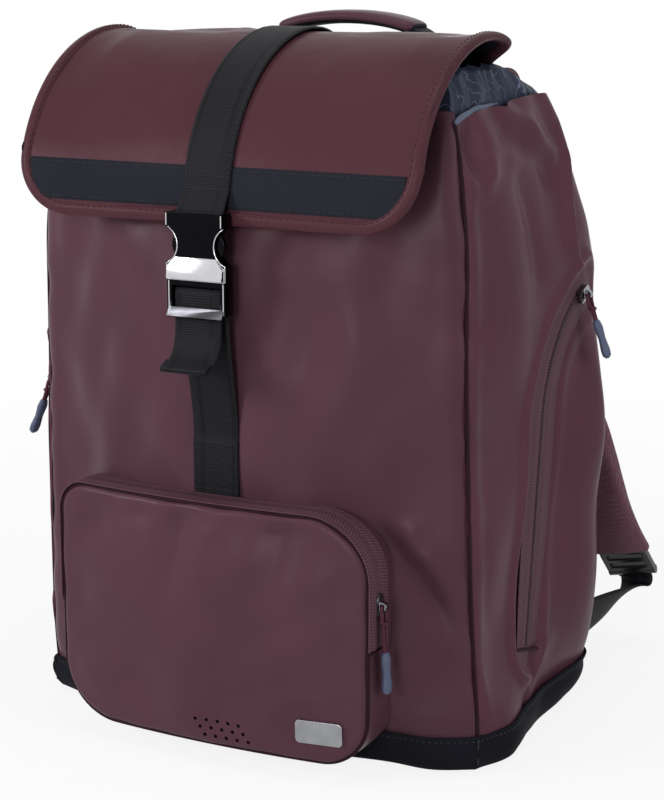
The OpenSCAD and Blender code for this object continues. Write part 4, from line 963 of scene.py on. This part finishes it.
# %% Punched holes
# The holes are not cut: each is a dark disc just proud of the face, painted shadow for its depth
HOLE_AXES = ((1.15, 0, 0), (0, 0, 1.15), (0, -0.3, 0))
bpy.ops.object.select_all(action="DESELECT")
bpy.ops.mesh.primitive_cylinder_add(vertices=12, radius=1, depth=1)
dot = shape(bpy.context.object, "BEVEL", width=0.15, segments=1, limit_method="ANGLE")
row, column = np.divmod(np.arange(15), 5)
spots = np.stack([-4 + 7.6 * column + 3.0 * row, 0.0 * row, 29.0 - 5.0 * row], 1)
spots[:, 1] = pocket_y(spots[:, 0], spots[:, 2]) - face_swell(spots) - 0.06
punched = repeat("pocket_punched_holes", dot, [(q, HOLE_AXES) for q in spots])
dress(punched, "bag", (), [hole_dark])

# %% Pocket wall, zip and piping
ring = pocket_line(0)
out = pocket_out(ring)
count = len(ring)
zip_part = int(np.argmax((ring[:, 0] < 0) & (ring[:, 2] < ZIP_END)))


def wall_point(i, share, proud):
    q, n = ring[i % count], out[i % count]
    rear = panel_y(q[:, 0], q[:, 2]) + 2.5
    y = rear + share * (q[:, 1] + 3.4 - rear)
    return np.stack([q[:, 0] + n[:, 0] * proud, y, q[:, 2] + n[:, 2] * proud], 1)


def lay_wall(u, v):
    i = np.rint(u * count).astype(int)
    arched = np.sin(math.pi * v)
    belly = 1.5 * arched - 1.2 * bell((v - 1) / 0.07)
    uneven = np.where(i % count > zip_part, 0.7 * waves(u * 500, v * 33, 40, 55) * arched, 0)
    return wall_point(i, v, belly + uneven)


wall = thicken(weld(cut("pocket_wall_cloth", count, 18, lay_wall)), 1.6)
dress(wall, "bag", ["pocket_gusset"], [burgundy])
piping = sweep("pocket_piping_cloth", ring + (0, 3.0, 0), (0, 1, 0), round_section(1.5, 10), ring=True)
dress(piping, "bag", ["pocket_piping"], [seam_cord_and_shade])


# %% Zips
def zipper(name, middle, across, up, width):
    """Woven tape along a middle line, and two rows of coil turns that meet on it."""
    across, up = np.broadcast_to(across, middle.shape), np.broadcast_to(up, middle.shape)
    width = np.broadcast_to(np.asarray(width, float), len(middle))
    length = run_of(middle)[-1]
    last = len(middle) - 1

    def lay(u, v):
        i = np.rint(v * last).astype(int)
        lift = 0.5 * bell((np.abs(2 * u - 1) - 0.42) / 0.12)
        return middle[i] + ((u - 0.5) * width[i])[:, None] * across[i] + lift[:, None] * up[i]

    tape = cut(name + "_zip_tape_cloth", 16, last, lay, cloth=lambda u, v: (u * width.max(), v * length))
    dress(thicken(tape, 0.7), "bag", [name + "_zip_tape"], [tape_red])
    turns = spaced(middle, 1.35, across, up)
    turns.append(unit(np.gradient(turns[0], axis=0)))
    bpy.ops.object.select_all(action="DESELECT")
    bpy.ops.mesh.primitive_cube_add(size=1)
    tooth = shape(bpy.context.object, "BEVEL", width=0.28, segments=1)
    places = [(m + row * 0.95 * a + 0.3 * n, (1.8 * a, 0.95 * t + row * 0.28 * a, 1.1 * n))
              for row in (-1, 1) for m, a, n, t in zip(*turns)]
    dress(repeat(name + "_zip_teeth", tooth, places), "bag", [name + "_zip_coil"], [teeth])


ZIP_BACK, ZIP_PROUD, SIDE_ZIP_X = 13, 1.75, 154.7  # behind the face, proud of the wall, out from the middle
lift = out[:zip_part]
middle = wall_point(np.arange(zip_part), 0.5, 0)
middle[:, 1] = ring[:zip_part, 1] + ZIP_BACK
zipper("pocket", middle + lift * ZIP_PROUD, (0, -1, 0), lift, 24)
for name, (sign, way, tape) in SIDES.items():
    middle = spaced(upright(way, sign * SIDE_ZIP_X), 2.0)
    up = np.array([sign, 0, 0.0])
    across = unit(np.cross(unit(np.gradient(middle, axis=0)), up))
    zipper(name, middle, across, up, 2 * tape_half(middle[:, 2], tape))

# %% Bartacks at the zip ends
TACKS = {
    "right_zip": ((155.4, -36, 59.5), (155.4, -2, 51)),
    "left_zip": ((-155.4, -96, 58), (-155.4, -74, 58)),
    "pocket_right": ((109.8, -149, 84.4), (109.8, -128, 84.4)),
    "pocket_left": ((-110.2, -149, 86), (-110.2, -128, 86)),
}
for name, ends in TACKS.items():
    tack = sweep(name + "_bartack", spaced(ends, 2.0), (0, 0, 1), round_section(0.9, 8))
    dress(tack, "bag", (), [seam_cord_and_shade])

# %% Plate on the pocket
from_cad("pocket_plate", "pocket_plate_metal", 0.5, "plate_metal", "bag", steel)

# %% [markdown]
# ## Flap
# The flap is one sheet that rises from the top yoke, rolls over the ridge and hangs down the front. A
# rolled binding runs round its edge and a black band crosses its front.

# %% Flap surface
FLAP = np.array([(-5, 412), (3, 460), (-143.689, 452), (-145.689, 333)])
FLAP_HALF, FLAP_R, FLAP_LOW, FLAP_TOP, ROOT_HALF = 137.0, 36.0, 333.0, 452.0, 114.0


def bezier(p, t):
    t = np.asarray(t, float)[..., None]
    return (1 - t) ** 3 * p[0] + 3 * (1 - t) ** 2 * t * p[1] + 3 * (1 - t) * t ** 2 * p[2] + t ** 3 * p[3]


def bezier_way(p, t):
    t = np.asarray(t, float)[..., None]
    a, b, c = np.diff(p, axis=0)
    return unit(3 * (1 - t) ** 2 * a + 6 * (1 - t) * t * b + 3 * t ** 2 * c)


def on_flap(x, t, out):
    """A point and its outward way on the flap."""
    x, t = np.broadcast_arrays(np.asarray(x, float), np.asarray(t, float))
    p, d = bezier(FLAP, t), bezier_way(FLAP, t)
    n = np.stack([0 * x, d[..., 1], -d[..., 0]], -1)
    return np.stack([x, p[..., 0], p[..., 1]], -1) + n * np.asarray(out)[..., None], n


t_table = np.linspace(0.35, 1, 400)
z_table = bezier(FLAP, t_table)[:, 1]


def t_at(z):
    """Where the flap's front is at that height."""
    return np.interp(-np.asarray(z, float), -z_table, t_table)


def flap_half(t):
    return ROOT_HALF + (FLAP_HALF - ROOT_HALF) * ease((t - 0.04) / 0.2)


# %% Flap sheet
FLAP_CREASES = ((-1.9, [(-118, 30), (-50, 44)], 12), (1.7, [(-100, 20), (-40, 34)], 9),
                (-1.3, [(-110, 62), (-70, 58)], 12), (-1.5, [(110, 44), (70, 66)], 13),
                (1.0, [(60, 30), (104, 24)], 9))


def lay_flap(u, v):
    s = np.sin((1 - 2 * u) * math.pi / 2)
    over = np.clip(np.abs(s * FLAP_HALF) - (FLAP_HALF - FLAP_R), 0, FLAP_R)
    foot = FLAP_LOW + FLAP_R - np.sqrt(np.maximum(FLAP_R ** 2 - over ** 2, 0))
    t = v * t_at(foot)
    return on_flap(s * flap_half(t), t, 2.6)[0]


def flap_wave(x, down):
    """The flap's broad unevenness, which the band sewn on it shares."""
    return 0.9 * waves(x, down, 110, 61)


def flap_swell(p):
    x, y, z = p.T
    down = np.where(y < -60, FLAP_TOP - z, -y)
    return flap_wave(x, down) + folds(x, down, (), FLAP_CREASES)


flap = cut("flap_cloth", 150, 120, lay_flap, flap_swell)
dress(lined(flap, 2.4, flap_red, black_cloth), None, ["flap_panel", "flap_root"])
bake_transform(flap)


# %% Binding
def flap_edge(inset, out, step=2.5):
    """A line beside the flap's edge, from the left of its root round to the right, with its outward ways."""
    r = FLAP_R - inset
    turn = np.radians(np.linspace(0, 90, 18))
    t_side = np.linspace(0.045, t_at(FLAP_LOW + FLAP_R), 60)
    x = list(-(flap_half(t_side) - inset)) + list(-(FLAP_HALF - FLAP_R) - r * np.cos(turn))
    t = list(t_side) + list(t_at(FLAP_LOW + FLAP_R - r * np.sin(turn)))
    x, t = np.array(x + [-a for a in x[::-1]]), np.array(t + t[::-1])
    p, n = on_flap(x, t, out)
    keep = np.r_[True, np.linalg.norm(np.diff(p, axis=0), axis=1) > 1e-6]
    return spaced(p[keep], step, n[keep])


path, ways = flap_edge(3.7, 1.5)
inward = np.cross(ways, unit(np.gradient(path, axis=0)))
binding = sweep("flap_binding_cloth", path, inward, round_section(4.2, 16, 0.7))
dress(binding, None, ["flap_binding"], [flap_red])
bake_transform(binding)
path, ways = flap_edge(6.0, 4.1)
thread = stitches("flap_binding_stitches", path, ways, (3.0, 1.2, 0.55), None, thread_red)
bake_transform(thread)

# %% Band
BAND_GAP = 8  # from the band's ends to the flap's edge


def band_reach(z):
    """Half the band's length at that height, inside the flap's rounded corner."""
    over = np.clip(FLAP_LOW + FLAP_R - z, 0, FLAP_R)
    return FLAP_HALF - FLAP_R + np.sqrt(FLAP_R ** 2 - over ** 2) - BAND_GAP


def on_band(s, z, out):
    """A point and its outward way on the band at share s of its half length."""
    x = s * band_reach(z)
    return on_flap(x, t_at(z), out + flap_wave(x, FLAP_TOP - z))


def lay_band(u, v):
    edge = 0.5 * ease(np.minimum(v, 1 - v) / 0.06)
    return on_band(1 - 2 * u, 366 - 24 * v, 3.0 + edge)[0]


band = thicken(cut("flap_band_cloth", 120, 14, lay_band), 0.8)
dress(band, "flap", ["flap_band"], [black_cloth])
share = np.linspace(-127, 127, 160) / (FLAP_HALF - BAND_GAP)
for name, z in (("upper", 363.8), ("lower", 344.0)):
    p, n = on_band(share, z + 0 * share, 3.55)
    stitches("band_stitches_" + name, p, n, (2.6, 1.2, 0.36), "flap", thread_black)

# %% [markdown]
# ## Centre strap and buckle
# One webbing strap is sewn over the flap and loops round the buckle's top bar. A second is sewn to the
# front, passes round the ladder bar of the tongue and ends in a folded loose tail. The metal takes its
# CAD shape with worn edges.

# %% Strap over the flap
STRAP = flat_section(32, 1.8)
BAR = (-156.788, 337.0)
t = np.linspace(0.02, float(t_at(353)), 90)
over = on_flap(0 * t, t, 4.5)[0]
round_bar = upright(arc(BAR, 3.6, 75, 350, 24))
path = spaced(np.vstack([over, [(0, -152.3, 347)], round_bar, [(0, -152.9, 341)]]), 1.5)
strap = sweep("flap_strap_webbing", path, (1, 0, 0), STRAP)
dress(strap, None, ["flap_strap"], [strap_black])
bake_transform(strap)
t = np.linspace(0.42, float(t_at(356)), 70)
for name, x in (("left", -14.2), ("right", 14.2)):
    p, n = on_flap(x + 0 * t, t, 5.45)
    stitches("strap_edge_stitches_" + name, p, n, (2.4, 1.0, 0.4), "flap", thread_black)
for name, z in (("a", 360.0), ("b", 353.0)):
    p, n = on_flap(np.linspace(-14, 14, 12), t_at(z + np.zeros(12)), 5.5)
    stitches("strap_stitches_" + name, p, n, (2.0, 0.8, 0.4), "flap", thread_black)

# %% Front strap
LADDER, LADDER_R = (-156.288, 293.0), 2.9
TAIL_Y = LADDER[0] - LADDER_R
RISE = np.array([(-141.1, 200.15), (-141.1, 230), (-152.488, 251), (-152.488, 293)])
sewn = [(-140.9, z) for z in np.linspace(163, 200, 12)]
rise = bezier(RISE, np.linspace(0.02, 0.98, 40)) + (0.9, 0)
front_leg = [(TAIL_Y, z) for z in np.linspace(292, 276.8, 8)]
run = np.vstack([sewn, rise, arc(LADDER, LADDER_R, 0, 180, 16), front_leg])
lower = sweep("front_strap_webbing", spaced(upright(run), 1.5), (1, 0, 0), STRAP)
dress(lower, None, ["front_strap", "sewn_strap"], [strap_black])
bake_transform(lower)
level, steep = np.linspace(-13.5, 13.5, 14), np.linspace(167, 199, 12)
for name, x, z in (("top", level, 199), ("foot", level, 170), ("left", -14.3, steep), ("right", 14.3, steep)):
    row = np.stack(np.broadcast_arrays(x, -141.9, z), 1)
    stitches("sewn_stitches_" + name, row, (0, -1, 0), (1.8, 0.7, 0.4), "bag", thread_black)

# %% Strap tail
CURL = np.array([(TAIL_Y, 276.5), (TAIL_Y, 261), (TAIL_Y - 3, 254.8), (TAIL_Y - 16.2, 248.6)])
curl = bezier(CURL, np.linspace(0, 1, 30))
fold = [curl[-1] + (-1.6, 0.2), curl[-1] + (-1.9, 1.4), curl[-1] + (-0.7, 2.2), curl[-6] + (-1.2, 1.75)]
path = spaced(upright(np.vstack([curl, fold])), 0.8)
tail = sweep("strap_tail_webbing", path, (1, 0, 0), STRAP)
dress(tail, None, ["strap_tail"], [strap_black])
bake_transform(tail)


# %% Edges of a CAD face
def edge_lines(node, level):
    """Closed lines round the node's front faces at that depth, in mm."""
    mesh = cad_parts[node].data
    at = [tuple(np.round(np.array(v.co) / MM, 3)) for v in mesh.vertices]
    edges = set()
    for flat in mesh.polygons:
        if flat.normal.y < -0.98 and abs(flat.center.y / MM - level) < 0.05:
            corners = [at[i] for i in flat.vertices]
            edges |= set(zip(corners, corners[1:] + corners[:1]))
    after = {p: q for p, q in sorted(edges) if (q, p) not in edges}
    lines = []
    while after:
        start, here = after.popitem()
        line = [start]
        while here in after:
            line.append(here)
            here = after.pop(here)
        lines.append(np.array(line))
    return lines


# %% Buckle
socket = from_cad("buckle_socket", "buckle_socket_metal", 0.5, "gunmetal", "flap", nickel, bright)
for flat in socket.data.polygons:
    c, n = flat.center / MM, flat.normal
    flat.material_index = int(c.y < -161.55 and n.y < -0.6 and 301.8 < c.z < 314.4)
tongue = from_cad("buckle_tongue", "buckle_tongue_metal", 0.45, "gunmetal", "front_strap", nickel, lip_painted_reflection)
# Thin polished rails round the front face's edges and up the ends of the bar and tongue: partly polished
# edges, partly painted highlight
for number, line in enumerate(edge_lines("buckle_socket", -161.5)):
    line = spaced(np.vstack([line, line[:1]]), 0.9)[:-1] + (0, 0.1, 0)
    rail = sweep("socket_rail_%d" % number, line, (0, 1, 0), round_section(0.36, 8), ring=True)
    dress(rail, "flap", (), [bright])
RAILS = (("flap", "socket_bar_end", -163.4, 333.2, 340.4),
         ("front_strap", "tongue_rail", -161.4, 281.5, 300.2))
for body, name, y, foot, top in RAILS:
    for hand, x in (("left", -18.7), ("right", 18.7)):
        path = spaced([(x, y, foot), (x, y, top)], 1.0)
        rail = sweep(name + "_" + hand, path, (1, 0, 0), round_section(0.42, 8))
        dress(rail, body, (), [bright])
# The lip's faces that look forward and up take the lighter grey nickel: painted reflection of the light from
# above
for flat in tongue.data.polygons:
    flat.material_index = int(flat.center.z < 0.2848 and flat.normal.y < -0.5 and flat.normal.z > 0.3)
for hand in ("left", "right"):
    from_cad(hand + "_release_ear", hand + "_ear_metal", 0.5, "gunmetal", hand + "_release_ear", nickel)

# %% [markdown]
# ## Top: yoke, collar and handle
# A short yoke closes the top between the back and the flap, and carries the handle. The printed lining
# stands up out of the mouth as a soft collar that is gathered into folds, and then goes down inside. Its
# two ends turn in behind the yoke.

# %% Yoke
YOKE = np.array([(52.5, 400), (52.5, 420), (29.75, 420), (-1.6, 416)])
BACK_HALF = 122.0  # half the back's width at the rim


def lay_yoke(u, v):
    x = ROOT_HALF * (1 - 2 * u)
    p = bezier(YOKE, v)
    return np.stack([x, p[:, 0] + 6 * (1 - (x / BACK_HALF) ** 2) * (1 - v), p[:, 1]], 1)


def yoke_swell(p):
    x, y, z = p.T
    return 0.8 * waves(x, y, 70, 71) - 1.2 * bell((z - 402) / 2.5)


yoke = cut("top_yoke_cloth", 90, 40, lay_yoke, yoke_swell)
dress(lined(yoke, 2.6, burgundy, lining), "bag", ["top_yoke"])

# %% Lining collar
SIDE_END, PAST, BEHIND_YOKE = 0.93, 0.12, (104, 50)  # where it leaves the sides, how far on, and to where
COLLAR_V = [0, 0.18, 0.36, 0.5, 0.62, 0.8, 1]
COLLAR_UP = [-8, 8, 17, 19, 14, -10, -55]
COLLAR_LEAN = [0, 0.5, 5, 12, 16, 12, 8]


def lay_collar(u, v):
    """Share f runs from 0 to 3 along left side, front and right side, and a little past both ends."""
    f = u * (3 + 2 * PAST) - PAST
    past = np.clip(np.maximum(-f, f - 3), 0, None)[:, None] / PAST
    t_left, t_right = np.clip(1 - f, 0, 1) * SIDE_END, np.clip(f - 2, 0, 1) * SIDE_END
    z0 = RIM - 1 + 0 * f
    parts = [side(t_left, z0, -2.2, -1), front(np.clip(2 * f - 3, -1, 1), z0, -2.2)]
    rim = np.select([(f < 1)[:, None], (f < 2)[:, None]], parts, side(t_right, z0, -2.2))
    end = np.stack([BEHIND_YOKE[0] * np.sign(f - 1.5), 0 * f + BEHIND_YOKE[1], z0], 1)
    rim = rim + past * (end - rim)
    t = np.maximum(np.where(f < 1, t_left, 0), np.where(f > 2, t_right, 0))
    fall = 1.25 - 0.75 * ease((t - 0.55) / 0.4)
    inward = unit(np.array([0, -30.0, 0]) - rim * (1, 1, 0))
    up = np.interp(v, COLLAR_V, COLLAR_UP) * np.where(v < 0.62, fall, 1)
    crinkle = 2.8 * waves(f * 253, v * 30, 46, 81) + 1.3 * waves(f * 253, v * 40, 17, 82)
    crinkle = crinkle * np.sin(math.pi * np.clip(v / 0.7, 0, 1))
    lean = np.interp(v, COLLAR_V, COLLAR_LEAN) + crinkle
    return rim + inward * lean[:, None] + np.stack([0 * u, 0 * u, up + 0.7 * crinkle], 1)


collar = thicken(cut("lining_collar_cloth", 356, 44, lay_collar), 0.7, 60)
dress(collar, "bag", ["lining_collar"], [lining])

# %% Turned rim of the lining
TURNED = np.array([(0, -1), (0.6, -0.2), (0.7, 0.4), (0.3, 1),
                   (-0.3, 1), (-0.1, 0.4), (-0.2, -0.2), (-0.6, -1)])
t = np.linspace(0.0, 0.44, 60)
rim = side(t, RIM + 3 * t - 8 * np.exp(-t / 0.2), -0.6)
tall = 3.4 * np.sin(math.pi * np.linspace(0.06, 1, 60) ** 0.6) + 0.6
tall = tall + 0.5 * waves(np.linspace(0, 80, 60), 0, 18, 83)
section = TURNED * np.stack([1 + 0 * tall, tall / 2], 1)[:, None]
turned = sweep("lining_rim_fold", rim + np.stack([0 * t, 0 * t, 0.4 * tall], 1), (1, 0, 0), section)
dress(turned, "bag", (), [lining_pale])

# %% Handle
ARCH = np.array([(-62, 421.7), (-76, 457.7), (76, 457.7), (62, 421.7)])
HANDLE_Y = 36.266


def arch(t0, t1, count):
    p = bezier(ARCH, np.linspace(t0, t1, count))
    return np.stack([p[:, 0], 0 * p[:, 0] + HANDLE_Y, p[:, 1]], 1)


loop = sweep("handle_webbing_strap", arch(0.0, 1, 90), (0, 1, 0), flat_section(20, 2.6))
dress(loop, "handle", ["handle_webbing"], [web_black])
share = np.linspace(0, 1, 70)
fat = 1 - 0.35 * np.exp(-share / 0.02) - 0.35 * np.exp(-share[::-1] / 0.02)
section = fat[:, None, None] * soft_oval(28, 0.7, 0.7) * (14, 4.5)
grip = sweep("handle_grip_wrap", arch(0.23, 0.77, 70), (0, 1, 0), section)
dress(grip, "handle", ["handle_grip"], [burgundy, black_cloth])
for flat in grip.data.polygons:
    flat.material_index = int(flat.normal.z < -0.35 or abs(flat.normal.x) > 0.8)
from_cad("handle_anchors", "handle_anchor_patches", 0.7, "black_fabric", "bag", black_cloth)

# %% [markdown]
# ## Back and shoulder straps
# The back is foam under black mesh, quilted into two columns with a channel for air. The shoulder pads
# are foam in burgundy mesh. Both are swollen by Cloth with a little pressure, and the back's sewn lines
# are pressed in afterwards.


# %% Swell foam with cloth
FOAM_FRAMES = 20


def swell_foam(piece, cap):
    """Lets Cloth blow up a slightly small form, and keeps every point within cap of its start."""
    start = points_of(piece)
    only(piece)
    step = piece.modifiers.new("foam", "CLOTH")
    step.settings.use_pressure = True
    step.settings.uniform_pressure_force = 4
    step.settings.effector_weights.gravity = 0
    step.settings.tension_stiffness = 30
    step.settings.quality = 5
    step.point_cache.frame_end = FOAM_FRAMES
    for number in range(1, FOAM_FRAMES + 1):
        bpy.context.scene.frame_set(number)
    bpy.ops.object.modifier_apply(modifier=step.name)
    bpy.context.scene.frame_set(1)
    move = points_of(piece) - start
    length = np.linalg.norm(move, axis=1, keepdims=True)
    move *= np.minimum(1, cap * MM / np.maximum(length, 1e-9))
    piece.data.vertices.foreach_set("co", (start + move).ravel())
    piece.data.update()
    print(piece.name, "swelled by up to", round(float(length.max() / MM), 1), "mm, kept to", cap)
    shape(piece, "SMOOTH", factor=0.5, iterations=4)
    shape(piece, "SUBSURF", levels=1, render_levels=1)
    return piece


def press(piece, depth):
    """Presses sewn lines into the back of a swollen piece, by depth(points) in mm."""
    p = points_of(piece) / MM
    p[:, 1] -= depth(p)
    piece.data.vertices.foreach_set("co", (p * MM).ravel())
    piece.data.update()


# %% Back panel
def lay_back(u, v):
    return back(0.97 * (1 - 2 * u), 24 + v * (RIM - 27), -1.0)


pad = cut("back_panel_pad", 60, 80, lay_back)
shape(pad, "SOLIDIFY", thickness=11.5 * MM, offset=-1)
swell_foam(pad, 5)


def quilting(p):
    x, y, z = p.T
    outer = ease((y - back_y(z) + 4) / 5)
    columns = 5.0 * np.exp(-(x / 11) ** 4) * ease((z - 50) / 30) * ease((385 - z) / 25)
    rows = sum(2.6 * bell((z - at) / 4.0) for at in (110, 185, 260, 335)) * (np.abs(x) > 12)
    return (columns + rows) * outer


press(pad, quilting)
rise = np.linspace(26, 397, 120)
level = np.linspace(1, -1, 80)[1:-1]
runs = ((0.95 + 0 * rise, rise), (0.95 * level, RIM - 5 + 0 * level),
        (-0.95 + 0 * rise, rise[::-1]), (-0.95 * level, 28 + 0 * level))
edge = np.vstack([back(s, z, 1.2) for s, z in runs])
flatwise = np.cross(unit(np.roll(edge, -1, 0) - np.roll(edge, 1, 0)), (0, 1.0, 0))
sewn_edge = sweep("back_panel_binding", edge, flatwise, flat_section(13, 2.6), ring=True)
dress(sewn_edge, "bag", (), [black_cloth])
dress(smooth(pad, 180), "bag", ["back_panel"], [back_black])

# %% Shoulder pads
PAD = np.array([(48, 66, 404), (56, 149.5, 392), (130, 75.5, 185), (151, 163.5, 74)], float)

t = np.clip(np.linspace(-0.02, 1, 110), 0, 1)
path = bezier(PAD, t)
path[0] = (47, 61, 401.5)
half_wide = 31 - 6 * t ** 2 - 0.8
half_thick = 6 - 1.5 * t ** 3 - 1.2 * (1 - t) ** 6 - 0.6
section = soft_oval(40, 0.35, 0.6) * np.stack([half_wide, half_thick], 1)[:, None]
right_pad = sweep("right_shoulder_pad_foam", path, (1, 0, 0.2), section)
swell_foam(right_pad, 4)
left_pad = right_pad.copy()
left_pad.data = right_pad.data.copy()
left_pad.name = left_pad.data.name = "left_shoulder_pad_foam"
bpy.context.scene.collection.objects.link(left_pad)
left_pad.data.vertices.foreach_set("co", (points_of(left_pad) * (-1, 1, 1)).ravel())
left_pad.data.flip_normals()
for hand, piece, sign in (("right", right_pad, 1), ("left", left_pad, -1)):
    dress(smooth(piece, 180), None, [hand + "_shoulder_pad", hand + "_strap_root"], [pad_red])
    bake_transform(piece)

# %% Adjusters
LOCK_WAY = np.array([0.146649, 0.614529, -0.775144])
LOCK_WIDE = np.array([0.981819, 0.00505, 0.189753])
TAB_WAY = np.array([0, 0.998552, -0.0538])
TAB_FROM, TAB_END = np.array([142.556, 97.065, 37]), np.array([143.556, 113.042, 36.139])
web_from = np.array([155.223, 181.198, 51.676])
web_end = TAB_END + 0.4 * TAB_WAY
share = np.linspace(0, 1, 70)
hull = np.array([web_from, web_from + 18 * LOCK_WAY, web_end + 36 * TAB_WAY, web_end - 3 * TAB_WAY])
curve = bezier(hull, share)
wide = LOCK_WIDE + share[:, None] * (np.array([0, 0, 1]) - LOCK_WIDE)
for hand, sign in (("right", 1), ("left", -1)):
    flip = (sign, 1, 1)
    web = sweep(hand + "_adjuster_webbing", curve * flip, wide * flip, flat_section(25, 1.6))
    dress(web, None, [hand + "_webbing"], [web_black])
    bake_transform(web)
    path = spaced(np.array([TAB_FROM, TAB_END]) * flip, 1.5)
    tab = sweep(hand + "_strap_tab_cloth", path, (0, 0, 1), flat_section(27, 3.2))
    dress(tab, "bag", [hand + "_strap_tab"], [black_cloth])
    from_cad(hand + "_ladder_lock", hand + "_lock_plastic", 0.5, "lock_plastic", hand + "_shoulder", plastic)

# %% [markdown]
# ## Inside
# A padded sleeve for a flat device hangs against the back. It shows through the mouth when the flap is
# open.

# %% Sleeve
sleeve = weld(cad_copy("device_sleeve", "device_sleeve_pad"), 1e-5)
shape(sleeve, "REMESH", mode="VOXEL", voxel_size=2.2 * MM)
shape(sleeve, "SMOOTH", factor=0.5, iterations=6)
dress(smooth(sleeve, 180), "bag", ["device_sleeve"], [lining])
